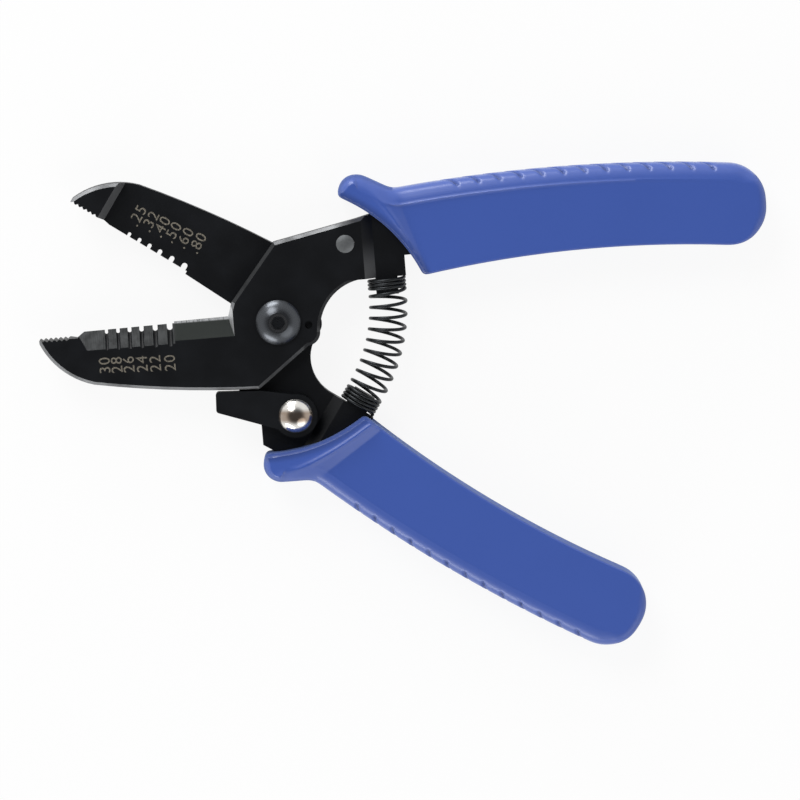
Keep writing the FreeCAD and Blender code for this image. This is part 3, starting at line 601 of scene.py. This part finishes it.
def half_oxide(colours, name, half, bend_highlight=0.0):
    """Black oxide of a half of the pliers, given by its placement; its bevel and ramp are ground bare."""
    finish = Oxide(name, colours)
    turned = half.to_3x3()
    from_pivot, outwards = (finish.aligned(finish.place, turned @ way) - PIVOT.dot(turned @ way)
                            for way in (LENGTHWAYS, SIDEWAYS))
    # Rubbed wear on broken edges, with a painted highlight on the bends and painted shade on hub edges
    rubbed = wear_and_painted_light(finish, turned, from_pivot, outwards, bend_highlight)
    black = finish.blend(rubbed, finish.black, shade(colours.edge))
    bevel = finish.faces(turned @ BEVEL_NORMAL, 0.990, 0.996)
    ramp = finish.faces(turned @ RAMP_NORMAL, 0.980, 0.990)
    ground = (bevel + ramp).at_most(1.0)
    turn = -math.atan2(turned[1][0], turned[0][0])
    strokes = finish.noise(1.0, 2.0, finish.stretched(5200.0, 320.0, 320.0, turn))
    steel = ground_steel(finish, colours, strokes, from_pivot, outwards)
    bare = finish.blend(ramp, steel, shade(colours.ramp))
    finish.set(
        Base_Color=finish.blend(ground, black, bare),
        Roughness=finish.rough + ground * (0.10 * strokes - 0.02),
        Metallic=(ground * 0.8).at_least(rubbed * 0.6),
    )
    return finish.material


def wear_and_painted_light(finish, turned, from_pivot, outwards, bend_highlight):
    """Where a half's oxide is rubbed on its broken edges, apart from hub edges kept darker as painted shade,
    and where its bends get a painted highlight.
    """
    across = finish.aligned(finish.facing, turned @ SIDEWAYS).size()
    leaning = finish.up.step(0.30, 0.38) * (1.0 - finish.up.step(0.86, 0.90))
    # Faces of the bends, which get a painted highlight
    bent = (1.0 - across.step(0.05, 0.12)) * leaning
    nose = 1.0 - from_pivot.past(NOSE_END)
    arm = from_pivot.past(ARM_START) * (1.0 - outwards.past(ARM_EDGE))
    blades = from_pivot.past(BLADES_START) * (1.0 - from_pivot.past(BLADES_END)) * outwards.past(NOTCH_FOOT)
    cutout = from_pivot.past(CUTOUT_START) * (1.0 - outwards.past(CUTOUT_EDGE))
    shaded_hub_edge = finish.faces(turned @ SHADED_HUB_NORMAL, 0.965, 0.99)
    hub_edge = finish.faces(turned @ HUB_EDGE_NORMAL, 0.965, 0.99)
    kept = blades.at_least(0.9 * shaded_hub_edge.at_least(cutout)).at_least(0.6 * hub_edge)
    return (finish.rubbed * (1.0 - kept)).at_least(bent * 0.48 * (nose + arm * bend_highlight))


def ground_steel(finish, colours, strokes, from_pivot, outwards):
    """Colour of the ground bevel: brushed at the blades, darker with a honed edge at the cutter."""
    patches = finish.noise(420.0, 3.0)
    marks = strokes.step(0.30, 0.70) * 0.45 + patches.step(0.30, 0.70) * 0.55
    brushed = finish.blend(marks, shade(colours.ground, 0.35), shade(colours.ground))
    keen = outwards.past(KEEN_EDGE) * strokes.step(0.25, 0.55)
    honed = finish.blend(keen, shade(colours.cutter), shade(colours.edge))
    return finish.blend(from_pivot.past(CUTTER_START), brushed, honed)


def turned_metal(name, base, roughness, spread, grain_scale, centre=None, mouth=None, reflected_band=None):
    """Bare metal with fine variation, and turning rings where it has a centre.

    The colour for a socket's mouth paints a highlight ring round the socket, the colour for a band paints a
    reflection band across the metal.
    """
    finish = Finish(name)
    grain = finish.noise(grain_scale, 3.0)
    cloud = finish.noise(220.0, 3.0)
    mark = grain * 0.5 + cloud * 0.5
    if centre is not None:
        x, y, _ = finish.parts(finish.place)
        across = x - centre.x
        along = y - centre.y
        radius = (across * across + along * along).root()
        rings = (radius * TURNING_RINGS).sine() * 0.5 + 0.5
        mark = mark * 0.7 + rings * 0.3
    surface = finish.blend(mark, shade(base, 1 - spread), shade(base, 1 + spread))
    if mouth is not None:
        # Painted highlight: a lighter ring round the socket
        ring = radius.past(MOUTH_START) * (1.0 - radius.past(MOUTH_END))
        surface = finish.blend(ring * (0.4 + 0.6 * cloud), surface, shade(mouth))
    if reflected_band is not None:
        # Painted reflection: a band across the rivet along a fixed direction
        off = finish.aligned(finish.place, REFLECTION_ACROSS) - centre.dot(REFLECTION_ACROSS)
        band = 1.0 - off.size().past(REFLECTION_REACH)
        surface = finish.blend(band * (0.5 + 0.5 * cloud), surface, shade(reflected_band))
    finish.set(
        Base_Color=surface,
        Metallic=1.0,
        Roughness=roughness * 0.75 + roughness * 0.5 * mark,
        Normal=finish.bump(mark, 0.05, 0.00003),
    )
    return finish.material


def marking_ink(colours):
    """Speckled, partly worn marking of the gauge numbers."""
    finish = Finish("marking")
    speckle = finish.noise(5200.0, 2.0)
    finish.set(
        Base_Color=finish.blend(speckle.step(0.36, 0.62), shade(colours.marking, 0.25),
                                shade(colours.marking, 1.15)),
        Roughness=0.55 + 0.2 * speckle,
        Specular_IOR_Level=0.3,
    )
    return finish.material


# Shared shapes


def half_matrix(body):
    """Placement of a half's own frame: the front half as it is, the rear half turned over."""
    lean = settings().half_opening
    if body == "front_half":
        return Matrix.Translation(PIVOT) @ Matrix.Rotation(lean, 4, "Z")
    return Matrix.Translation(PIVOT) @ Matrix.Rotation(-lean, 4, "Z") @ Matrix.Rotation(math.pi, 4, "X")


def new_object(name, data):
    obj = bpy.data.objects.new(name, data)
    bpy.context.scene.collection.objects.link(obj)
    return obj


def shade_smooth(mesh, sharp_angle=None):
    mesh.polygons.foreach_set("use_smooth", [True] * len(mesh.polygons))
    if sharp_angle is not None:
        mesh.set_sharp_from_angle(angle=sharp_angle)


def section_loop(node, height):
    """Outline of a CAD node at a height, as plan points in order round the loop."""
    mesh = frame["nodes"][node].data
    points = np.array([vertex.co for vertex in mesh.vertices])
    mesh.calc_loop_triangles()
    near = {}
    for triangle in mesh.loop_triangles:
        corners = (tuple(points[index]) for index in triangle.vertices)
        low, middle, high = sorted(corners, key=lambda corner: corner[2])
        if low[2] >= height or high[2] < height:
            continue
        other = (low, middle) if middle[2] >= height else (middle, high)
        ends = [crossing(low, high, height), crossing(*other, height)]
        if ends[0] != ends[1]:
            near.setdefault(ends[0], []).append(ends[1])
            near.setdefault(ends[1], []).append(ends[0])
    loops = []
    left = set(near)
    while left:
        loop = [left.pop()]
        while ahead := [point for point in near[loop[-1]] if point in left]:
            left.remove(ahead[0])
            loop.append(ahead[0])
        loops.append(loop)
    return np.array(max(loops, key=len))


def crossing(low, high, height):
    """Plan point, to a micrometre, where an edge passes a height."""
    low, high = sorted((low, high))
    share = (height - low[2]) / (high[2] - low[2])
    return tuple(round(low[axis] + share * (high[axis] - low[axis]), 6) for axis in (0, 1))


def evenly(loop, spacing):
    """Points at an even spacing round a closed loop."""
    closed = np.vstack([loop, loop[:1]])
    run = np.concatenate([[0.0], np.cumsum(np.linalg.norm(np.diff(closed, axis=0), axis=1))])
    count = int(run[-1] / spacing)
    places = np.arange(count) * run[-1] / count
    return np.stack([np.interp(places, run, closed[:, axis]) for axis in (0, 1)], axis=1)


def smoothed(values, rounds):
    """Values round a loop, each drawn towards its neighbours."""
    for _ in range(rounds):
        values = (np.roll(values, 1, axis=0) + 2 * values + np.roll(values, -1, axis=0)) / 4
    return values


def inside(points, loop):
    """Which points lie inside a loop."""
    x, y = points[:, 0], points[:, 1]
    found = np.zeros(len(points), bool)
    for (x1, y1), (x2, y2) in zip(loop, np.roll(loop, -1, axis=0)):
        if y1 != y2:
            crosses = (y1 > y) != (y2 > y)
            found ^= crosses & (x < (x2 - x1) * (y - y1) / (y2 - y1) + x1)
    return found


# Grips


def grip_loop(node, facts, sizes):
    """Grip outline in the handle's own frame, in order from the rim's inner corner along the inner edge."""
    half = half_matrix(facts["body"])
    outline = section_loop(node, (half @ Vector((0.0, 0.0, -PLAIN_WALL))).z)
    to_own = half.inverted()
    own = np.array([(to_own @ Vector((x, y, PIVOT.z)))[:2] for x, y in outline])
    following = np.roll(own, -1, axis=0)
    if (own[:, 0] * following[:, 1] - following[:, 0] * own[:, 1]).sum() < 0:
        own = own[::-1]
    loop = smoothed(evenly(own, sizes.spacing), OUTLINE_ROUNDS)
    start = nearest(loop, facts["rim_inner"])
    return np.roll(loop, -start, axis=0)


def nearest(loop, corner):
    """Number of the loop's point nearest to a corner given in mm."""
    return int(np.argmin(np.linalg.norm(loop - np.array(corner) * MM, axis=1)))


def edge_bands(loop, facts, sizes):
    """Band width, drop and first slope of the rounded edge at every point of the loop."""
    end_inner = nearest(loop, (facts["end"], END_INNER_HEIGHT))
    end_outer = nearest(loop, (facts["end"], END_OUTER_HEIGHT))
    guard = nearest(loop, facts["behind_guard"])
    rim = nearest(loop, facts["rim_outer"])
    bands = np.zeros((len(loop), 3))
    bands[:end_inner] = (sizes.inner_round, sizes.inner_round, 0.0)
    bands[end_inner:end_outer] = (sizes.end_round, sizes.end_round, 0.0)
    bands[end_outer:guard] = (sizes.outer_band, sizes.outer_drop, math.tan(sizes.outer_slope))
    bands[guard:rim] = (sizes.guard_round, sizes.guard_round, 0.0)
    bands[rim:] = (sizes.rim_round, sizes.rim_round, 0.0)
    bands = smoothed(bands, BAND_ROUNDS)
    inward = inward_normals(loop)
    bands[:, 0] = narrowed_at_corners(loop, inward, bands[:, 0] * FLAT_RING) / FLAT_RING
    return bands, inward, (end_outer, guard, rim)


def narrowed_at_corners(loop, inward, width):
    """Band width, made less where the inset outline would fold back on itself at a corner."""
    ahead = np.roll(loop, -1, axis=0) - loop
    for _ in range(60):
        ring = loop + inward * width[:, None]
        run = ((np.roll(ring, -1, axis=0) - ring) * ahead).sum(axis=1) / (ahead * ahead).sum(axis=1)
        tight = smoothed((run < LEAST_RUN).astype(float), 12)
        if tight.max() == 0:
            break
        width = smoothed(width * (1 - 0.5 * np.clip(tight * 4, 0, 1)), 2)
    return width


def inward_normals(loop):
    """Directions into the outline at every point of the loop."""
    ahead = np.roll(loop, -1, axis=0) - np.roll(loop, 1, axis=0)
    inward = np.stack([-ahead[:, 1], ahead[:, 0]], axis=1)
    inward = smoothed(inward / np.linalg.norm(inward, axis=1, keepdims=True), INWARD_ROUNDS)
    return inward / np.linalg.norm(inward, axis=1, keepdims=True)


def collar_rise(points, rim_points, facts, height):
    """Height of the collar behind the rim at plan points, from a crease to a ridge and down to the rim."""
    outer = np.array(facts["collar_outer"]) * MM
    inner = np.array(facts["collar_inner"]) * MM
    along = (inner - outer) / np.linalg.norm(inner - outer)
    towards_rim = np.array([along[1], -along[0]])
    if towards_rim[0] > 0:
        towards_rim = -towards_rim
    from_crease = np.clip((points - outer) @ towards_rim, 0.0, None)
    from_rim = np.array([np.linalg.norm(rim_points - point, axis=1).min() for point in points])
    width = from_crease + from_rim + 1e-9
    share = from_crease / width
    up = share / COLLAR_RIDGE
    down = (COLLAR_RIDGE + COLLAR_FALL - share) / COLLAR_FALL
    roof = 0.5 * (up + down - np.sqrt((up - down) ** 2 + COLLAR_SOFTNESS))
    crest = CREST_RISE * np.exp(-((share - CREST_PLACE) / CREST_WIDTH) ** 2)
    full = np.clip(width / FULL_COLLAR_WIDTH, 0.0, 1.0)
    return np.where(from_crease > 0, height * full * np.clip(roof + crest, 0.0, COLLAR_TOP), 0.0)


def face_points(boundary, collar_end):
    """Points inside a face, closer together at the collar."""
    low, high = boundary.min(axis=0), boundary.max(axis=0)
    found = []
    for step, x_from, x_to in ((FINE_GRID, low[0], collar_end), (COARSE_GRID, collar_end, high[0])):
        columns = np.arange(x_from, x_to, step)
        rows = np.arange(low[1], high[1], step * ROW_SHARE)
        grid = np.array([(x + (0.5 * step if index % 2 else 0.0), y)
                         for index, y in enumerate(rows) for x in columns])
        grid = grid[inside(grid, boundary)]
        gap = np.array([np.linalg.norm(boundary - point, axis=1).min() for point in grid])
        found.append(grid[gap > 0.45 * step])
    return np.vstack(found)


def grip_mesh(node, facts, sizes):
    """Closed shell of a grip in its own frame, with the marks that the grooves follow."""
    loop = grip_loop(node, facts, sizes)
    bands, inward, (end_outer, guard, rim) = edge_bands(loop, facts, sizes)
    lowest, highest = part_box(node)
    face_height = (highest[2] - lowest[2]) / 2 - COLLAR_ROOM * sizes.collar_height
    width, drop, slope = bands.T
    bead = sizes.outer_bead * facts["bead"] * slope / math.tan(sizes.outer_slope)
    bead = bead * np.clip((facts["end"] * MM - loop[:, 0]) / BEAD_FADE, 0.0, 1.0)
    upper = []
    for inset, bead_share in BEAD_RINGS + EDGE_RINGS:
        share = 1 - math.sqrt(min(inset, 1.0))
        fall = 2 * share * (1 - share) * width * slope + share ** 2 * drop
        plan = loop + inward * (width * inset)[:, None]
        rise = collar_rise(plan, loop[rim:], facts, sizes.collar_height) * (1 - share) ** 2
        upper.append(np.column_stack([plan, face_height - fall + rise + bead * bead_share]))
    wall_height = face_height - drop
    for share in np.linspace(1.0, 0.0, WALL_STEPS)[1:-1]:
        upper.append(np.column_stack([loop, wall_height * share]))
    middle = [np.column_stack([loop, np.zeros(len(loop))])]
    lower = [np.column_stack([ring[:, :2], -ring[:, 2]]) for ring in reversed(upper)]
    extra = face_points(upper[0][:, :2], (facts["collar_inner"][0] + COLLAR_MARGIN) * MM)
    rise = collar_rise(extra, loop[rim:], facts, sizes.collar_height)
    extra = np.column_stack([extra, face_height + rise])
    outer = np.zeros(len(loop))
    outer[end_outer:guard] = 1.0
    mesh = join_shell(node, upper + middle + lower, extra, {"along": loop[:, 0], "outer": outer})
    mark_rim(mesh, loop[rim:])
    return mesh


def mark_rim(mesh, rim_points):
    """Stores each point's distance from the rim, seen from above."""
    plan = np.array([vertex.co[:2] for vertex in mesh.vertices])
    gap = np.full(len(plan), 1.0)
    for point in rim_points:
        gap = np.minimum(gap, np.hypot(plan[:, 0] - point[0], plan[:, 1] - point[1]))
    mesh.attributes.new("rim_gap", "FLOAT", "POINT").data.foreach_set("value", gap.astype(np.float32))


def join_shell(name, rings, extra, marks):
    """Mesh from a stack of rings, closed by triangles above and below, with marks round each ring."""
    count = len(rings[0])
    points = [tuple(point) for ring in rings for point in ring]
    faces = []
    for level in range(len(rings) - 1):
        start = level * count
        for index in range(count):
            after = (index + 1) % count
            faces.append((start + count + index, start + count + after, start + after, start + index))
    flat = [Vector(point[:2]) / MM for point in rings[0]] + [Vector(point[:2]) / MM for point in extra]
    edges = [(index, (index + 1) % count) for index in range(count)]
    _, _, triangles, origin, _, _ = delaunay_2d_cdt(flat, edges, [], 1, 1e-7)
    source = [found[0] for found in origin]
    for side, first_ring in ((1, 0), (-1, (len(rings) - 1) * count)):
        first_extra = len(points)
        points += [(x, y, side * z) for x, y, z in extra]
        for triangle in triangles:
            corners = [source[index] for index in triangle]
            face = [first_ring + index if index < count else first_extra + index - count for index in corners]
            faces.append(tuple(face if side > 0 else reversed(face)))
    mesh = bpy.data.meshes.new(name)
    mesh.from_pydata(points, [], faces)
    spare = len(points) - len(rings) * count
    for label, values in marks.items():
        attribute = mesh.attributes.new(label, "FLOAT", "POINT")
        attribute.data.foreach_set("value", np.concatenate([np.tile(values, len(rings)), np.zeros(spare)]))
    return mesh


def groove_tree(sizes, facts, material):
    """Slanting finger grooves pressed into the outer wall at an even pitch."""
    tree = Shaper("finger_grooves", {
        "First": facts["first_groove"] * MM,
        "Pitch": sizes.groove_pitch,
        "Count": sizes.groove_count,
        "Width": sizes.groove_width,
        "Depth": sizes.groove_depth,
        "Reach": facts["groove_reach"] * MM,
        "Slant": math.tan(sizes.groove_slant),
    })
    _, _, height = tree.parts(tree.add("GeometryNodeInputPosition"))
    pitch = tree["Pitch"]
    slid = (tree.attribute("along") - tree["First"] - height * tree["Slant"]) / pitch
    index = slid.rounded()
    counted = (index > -0.5) * (index < tree["Count"] - 0.5)
    off = (slid - index).size() * pitch / tree["Width"] * 2.0
    across = 1.0 - off.step(0.25, 1.0)
    end = 1.0 - (height.size() / tree["Reach"]).step(0.84, 1.0)
    groove = across * end * counted * tree.attribute("outer")
    press = groove * tree["Depth"] * -1.0
    normal = tree.add("GeometryNodeInputNormal")
    shift = tree.add("ShaderNodeVectorMath", {"operation": "SCALE"}, {"Vector": normal, "Scale": press})
    moved = tree.add("GeometryNodeSetPosition", None, {"Geometry": tree["Geometry"], "Offset": shift})
    # The groove's share is kept at each point, so that the material paints shade into the grooves
    tree.finish(tree.stored(moved, "groove", groove), material)
    return tree


class PLIERS_OT_grips(bpy.types.Operator):
    """Blue moulded grips with edge bands, collar and finger grooves"""

    bl_idname = "pliers.grips"
    bl_label = "Grips"

    def execute(self, context):
        sizes = settings().grips
        plastic = moulded_plastic(settings().finishes)
        for node, facts in GRIPS.items():
            grip = new_object(node + "_sleeve", grip_mesh(node, facts, sizes))
            groove_tree(sizes, facts, plastic).apply(grip)
            grip.data.transform(half_matrix(facts["body"]))
            shade_smooth(grip.data, SHARP_EDGE)
            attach(grip, facts["body"])
            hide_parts(node)
        return {"FINISHED"}


# Return spring


def spring_tree(sizes, material):
    """Coil whose axis bends between the two tabs; the turns are closed at both ends."""
    lean = settings().half_opening
    seat = Matrix.Rotation(lean, 2) @ Vector((sizes.seat_place, sizes.seat_height))
    bend_height = seat.y - math.cos(lean) * sizes.straight
    radius = bend_height / math.sin(lean)
    centre = seat.x + math.sin(lean) * sizes.straight - radius * math.cos(lean)
    arc = 2 * lean * radius
    closed_pitch = sizes.wire + sizes.closed_gap
    lead = sizes.wire / 2 + sizes.seat_gap
    closed = sizes.upper_turns + sizes.lower_turns
    open_pitch = (2 * sizes.straight + arc - 2 * lead - closed_pitch * closed) / sizes.open_turns
    tree = Shaper("coil", {
        "Points per turn": POINTS_PER_TURN,
        "Upper turns": sizes.upper_turns,
        "Open turns": sizes.open_turns,
        "Lower turns": sizes.lower_turns,
        "Closed pitch": closed_pitch,
        "Open pitch": open_pitch,
        "Lead": lead,
        "Straight": sizes.straight,
        "Bend radius": radius,
        "Bend centre": centre,
        "Bend length": arc,
        "Lean": lean,
        "Coil radius": (sizes.diameter - sizes.wire) / 2,
        "Wire radius": sizes.wire / 2,
    })
    per_turn = tree["Points per turn"]
    upper = tree["Upper turns"]
    opened = tree["Open turns"]
    turns = upper + opened + tree["Lower turns"]
    line = tree.add("GeometryNodeMeshLine", None, {"Count": turns * per_turn + 1.0})
    turn = tree.add("GeometryNodeInputIndex") / per_turn
    free = (turn - upper).at_least(0.0).at_most(opened)
    run = tree["Lead"] + (turn - free) * tree["Closed pitch"] + free * tree["Open pitch"]
    on_arc = (run - tree["Straight"]).at_least(0.0).at_most(tree["Bend length"])
    past = run - tree["Straight"] - on_arc
    bend = tree["Lean"] - on_arc / tree["Bend radius"]
    swing = turn * math.tau
    reach = tree["Bend radius"] + tree["Coil radius"] * swing.cosine()
    x = tree["Bend centre"] + bend.cosine() * reach + bend.sine() * past
    y = bend.sine() * reach - bend.cosine() * past
    z = tree["Coil radius"] * swing.sine()
    place = tree.add("ShaderNodeCombineXYZ", None, (x, y, z))
    placed = tree.add("GeometryNodeSetPosition", None, {"Geometry": line, "Position": place})
    path = tree.add("GeometryNodeMeshToCurve", None, {"Mesh": tree.stored(placed, "share", free / opened)})
    section = tree.add("GeometryNodeCurvePrimitiveCircle", {"mode": "RADIUS"},
                       {"Resolution": WIRE_POINTS, "Radius": tree["Wire radius"]})
    tube = tree.add("GeometryNodeCurveToMesh", None,
                    {"Curve": path, "Profile Curve": section, "Fill Caps": True})
    tree.finish(tube, material)
    return tree, seat


class PLIERS_OT_return_spring(bpy.types.Operator):
    """Coil spring between the handles"""

    bl_idname = "pliers.return_spring"
    bl_label = "Return spring"

    def execute(self, context):
        wire = turned_metal("spring_wire", settings().finishes.wire, 0.38, 0.25, 4200.0)
        tree, seat = spring_tree(settings().spring, wire)
        mesh = bpy.data.meshes.new("return_spring_coil")
        mesh.from_pydata([(0.0, 0.0, 0.0)], [], [])
        coil = new_object("return_spring_coil", mesh)
        tree.apply(coil)
        coil.data.transform(Matrix.Translation(PIVOT))
        shade_smooth(coil.data)
        share = np.zeros(len(coil.data.vertices), np.float32)
        coil.data.attributes["share"].data.foreach_get("value", share)
        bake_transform(coil)
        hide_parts("return_spring")
        return {"FINISHED"}


# Gauge numbers


def number_mesh(text, sizes):
    """Thin mesh of a number that reads along +X from the origin."""
    curve = bpy.data.curves.new("number", "FONT")
    curve.body = text
    curve.size = sizes.height / FIGURE_SHARE
    curve.align_y = "CENTER"
    curve.space_character = FIGURE_SPACING
    curve.extrude = sizes.thickness / 2
    curve.resolution_u = 4
    obj = new_object("number", curve)
    depsgraph = bpy.context.evaluated_depsgraph_get()
    mesh = bpy.data.meshes.new_from_object(obj.evaluated_get(depsgraph))
    bpy.data.objects.remove(obj)
    bpy.data.curves.remove(curve)
    return mesh


def marked_numbers(name, numbers, face, lean, sizes):
    """One mesh of all numbers on a plate, each reading outwards across the jaw."""
    whole = bmesh.new()
    half = Matrix.Translation(PIVOT) @ Matrix.Rotation(lean, 4, "Z")
    for place, foot, text in numbers:
        mesh = number_mesh(text, sizes)
        mesh.transform(half @ Matrix.Translation((place * MM, foot * MM, face + sizes.thickness / 2))
                       @ Matrix.Rotation(math.radians(90), 4, "Z"))
        whole.from_mesh(mesh)
        bpy.data.meshes.remove(mesh)
    bmesh.ops.remove_doubles(whole, verts=whole.verts, dist=1e-7)
    bmesh.ops.recalc_face_normals(whole, faces=whole.faces)
    mesh = bpy.data.meshes.new(name)
    whole.to_mesh(mesh)
    whole.free()
    return new_object(name, mesh)


class PLIERS_OT_gauge_numbers(bpy.types.Operator):
    """Plain numbers beside the wire notches of both jaws"""

    bl_idname = "pliers.gauge_numbers"
    bl_label = "Gauge numbers"

    def execute(self, context):
        sizes = settings().numbers
        lean = settings().half_opening
        ink = marking_ink(settings().finishes)
        front = marked_numbers("front_jaw_numbers", FRONT_NUMBERS, sizes.front_face, lean, sizes)
        rear = marked_numbers("rear_jaw_numbers", REAR_NUMBERS, sizes.rear_face, -lean, sizes)
        for numbers, body in ((front, "front_half"), (rear, "rear_half")):
            numbers.data.materials.append(ink)
            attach(numbers, body)
        return {"FINISHED"}


# Metal finishes


def paint(material, *nodes):
    """Gives CAD nodes a material."""
    for node in nodes:
        obj = frame["nodes"][node]
        if not obj.material_slots:
            obj.data.materials.append(material)
        for slot in obj.material_slots:
            slot.material = material


class PLIERS_OT_metal_finishes(bpy.types.Operator):
    """Finishes of the plates, lock lever, screw, pin, rivet and washer"""

    bl_idname = "pliers.metal_finishes"
    bl_label = "Metal finishes"

    def execute(self, context):
        colours = settings().finishes
        # The front half's bent arm gets part of the painted highlight
        paint(half_oxide(colours, "black_oxide_front", half_matrix("front_half"), 0.7), "front_plate")
        paint(half_oxide(colours, "black_oxide_rear", half_matrix("rear_half")), "rear_plate")
        paint(plain_oxide(colours, "black_oxide_lever"), "lock_lever")
        # The screw gets a painted highlight ring round its socket
        screw = turned_metal("dark_screw", colours.screw, 0.26, 0.15, 3000.0, PIVOT, mouth=colours.edge)
        steel = turned_metal("bare_steel", colours.steel, 0.48, 0.3, 2400.0)
        # The rivet gets a painted reflection band
        bright = turned_metal("bright_rivet", colours.chrome, 0.17, 0.06, 1800.0, RIVET,
                              reflected_band=colours.painted_reflection)
        paint(screw, "pivot_screw", "pivot_nut")
        paint(steel, "stop_pin", "lock_washer")
        paint(bright, "lock_rivet")
        return {"FINISHED"}


# Stage


def floor_material():
    """Pale floor that keeps part of the shadow in the camera's eye."""
    finish = Finish("pale_floor")
    speckle = finish.noise(30.0, 3.0)
    finish.set(Base_Color=finish.blend(speckle, (0.86, 0.86, 0.86, 1.0), (0.90, 0.90, 0.90, 1.0)),
               Roughness=0.9, Specular_IOR_Level=0.0)
    white = finish.add("ShaderNodeEmission", None, {"Color": (1.0, 1.0, 1.0, 1.0), "Strength": 1.0})
    seen = finish.add("ShaderNodeLightPath", None, None, "Is Camera Ray")
    glossy = finish.other(seen, "Is Glossy Ray")
    through = finish.other(seen, "Is Transmission Ray")
    factor = (seen + glossy + through).at_most(1.0) * FLOOR_WHITE
    finish.feed(finish.output, finish.add("ShaderNodeMixShader", None, (factor, finish.surface, white)))
    return finish.material


def add_floor(sizes):
    """Level floor just under the grips."""
    reach = sizes.floor_side / 2
    corners = [(-reach, -reach), (reach, -reach), (reach, reach), (-reach, reach)]
    mesh = bpy.data.meshes.new("floor")
    mesh.from_pydata([(x, y, -FLOOR_GAP) for x, y in corners], [], [(0, 1, 2, 3)])
    mesh.materials.append(floor_material())
    return new_object("floor", mesh)


def light_world(scene):
    """White round the horizon and dimmer overhead."""
    world = bpy.data.worlds.new("studio")
    world.use_nodes = True
    scene.world = world
    tree = Tree(world.node_tree)
    tree.nodes.clear()
    _, _, up = tree.parts(tree.add("ShaderNodeTexCoord", None, None, "Generated"))
    light = tree.blend(up.step(0.50, 0.88), (0.92, 0.92, 0.92, 1.0), (0.12, 0.12, 0.125, 1.0))
    background = tree.add("ShaderNodeBackground", None, {"Color": light, "Strength": 1.0})
    tree.feed(tree.nodes.new("ShaderNodeOutputWorld").inputs["Surface"], background)


def add_lamp(name, place, width, height, power):
    """Soft oval lamp aimed at the middle of the pliers."""
    lamp = bpy.data.lights.new(name, "AREA")
    lamp.shape = "ELLIPSE"
    lamp.size = width
    lamp.size_y = height
    lamp.energy = power
    obj = new_object(name, lamp)
    obj.location = place
    obj.rotation_euler = (-Vector(place)).to_track_quat("-Z", "Y").to_euler()


def add_camera(sizes):
    """Camera placed so that the pivot falls on its pixel at the given scale."""
    data = bpy.data.cameras.new("camera")
    data.sensor_width = SENSOR
    data.lens = sizes.pixels_per_metre * sizes.distance * SENSOR / PICTURE_SIDE
    data.clip_end = 20.0
    camera = new_object("camera", data)
    camera.rotation_euler = Euler((-sizes.tilt, sizes.lean, sizes.roll))
    across = (PICTURE_SIDE / 2 - sizes.pivot_across) / sizes.pixels_per_metre
    down = (PICTURE_SIDE / 2 - sizes.pivot_down) / sizes.pixels_per_metre
    camera.location = PIVOT + camera.rotation_euler.to_matrix() @ Vector((across, -down, sizes.distance))
    return camera


class PLIERS_OT_stage(bpy.types.Operator):
    """Pale floor, soft lamps, world and camera"""

    bl_idname = "pliers.stage"
    bl_label = "Stage"

    def execute(self, context):
        scene = context.scene
        sizes = settings().stage
        scene.view_settings.view_transform = "Standard"
        floor = add_floor(sizes)
        light_world(scene)
        for name, lamp in LAMPS.items():
            add_lamp(name, *lamp)
        scene.camera = add_camera(sizes)
        return {"FINISHED"}


# Panel and registration


class PLIERS_PT_panel(bpy.types.Panel):
    bl_idname = "PLIERS_PT_panel"
    bl_label = "Wire stripping pliers"
    bl_space_type = "VIEW_3D"
    bl_region_type = "UI"
    bl_category = "Pliers"

    def draw(self, context):
        pliers = context.scene.pliers
        self.layout.prop(pliers, "half_opening")
        for group in ("grips", "spring", "numbers", "finishes", "stage"):
            box = self.layout.box()
            box.label(text=group.capitalize())
            values = getattr(pliers, group)
            for name in values.__annotations__:
                box.prop(values, name)
        for operator in OPERATORS:
            self.layout.operator(operator.bl_idname)


OPERATORS = (PLIERS_OT_grips, PLIERS_OT_return_spring, PLIERS_OT_gauge_numbers, PLIERS_OT_metal_finishes,
             PLIERS_OT_stage)
CLASSES = (GripSizes, SpringSizes, NumberSizes, Finishes, StageSizes, PliersSettings,
           *OPERATORS, PLIERS_PT_panel)


def register():
    for cls in CLASSES:
        bpy.utils.register_class(cls)
    bpy.types.Scene.pliers = bpy.props.PointerProperty(type=PliersSettings)


def unregister():
    del bpy.types.Scene.pliers
    for cls in reversed(CLASSES):
        bpy.utils.unregister_class(cls)


def main():
    register()
    bpy.ops.pliers.grips()
    bpy.ops.pliers.return_spring()
    bpy.ops.pliers.gauge_numbers()
    bpy.ops.pliers.metal_finishes()
    bpy.ops.pliers.stage()


if __name__ == "__main__":
    main()
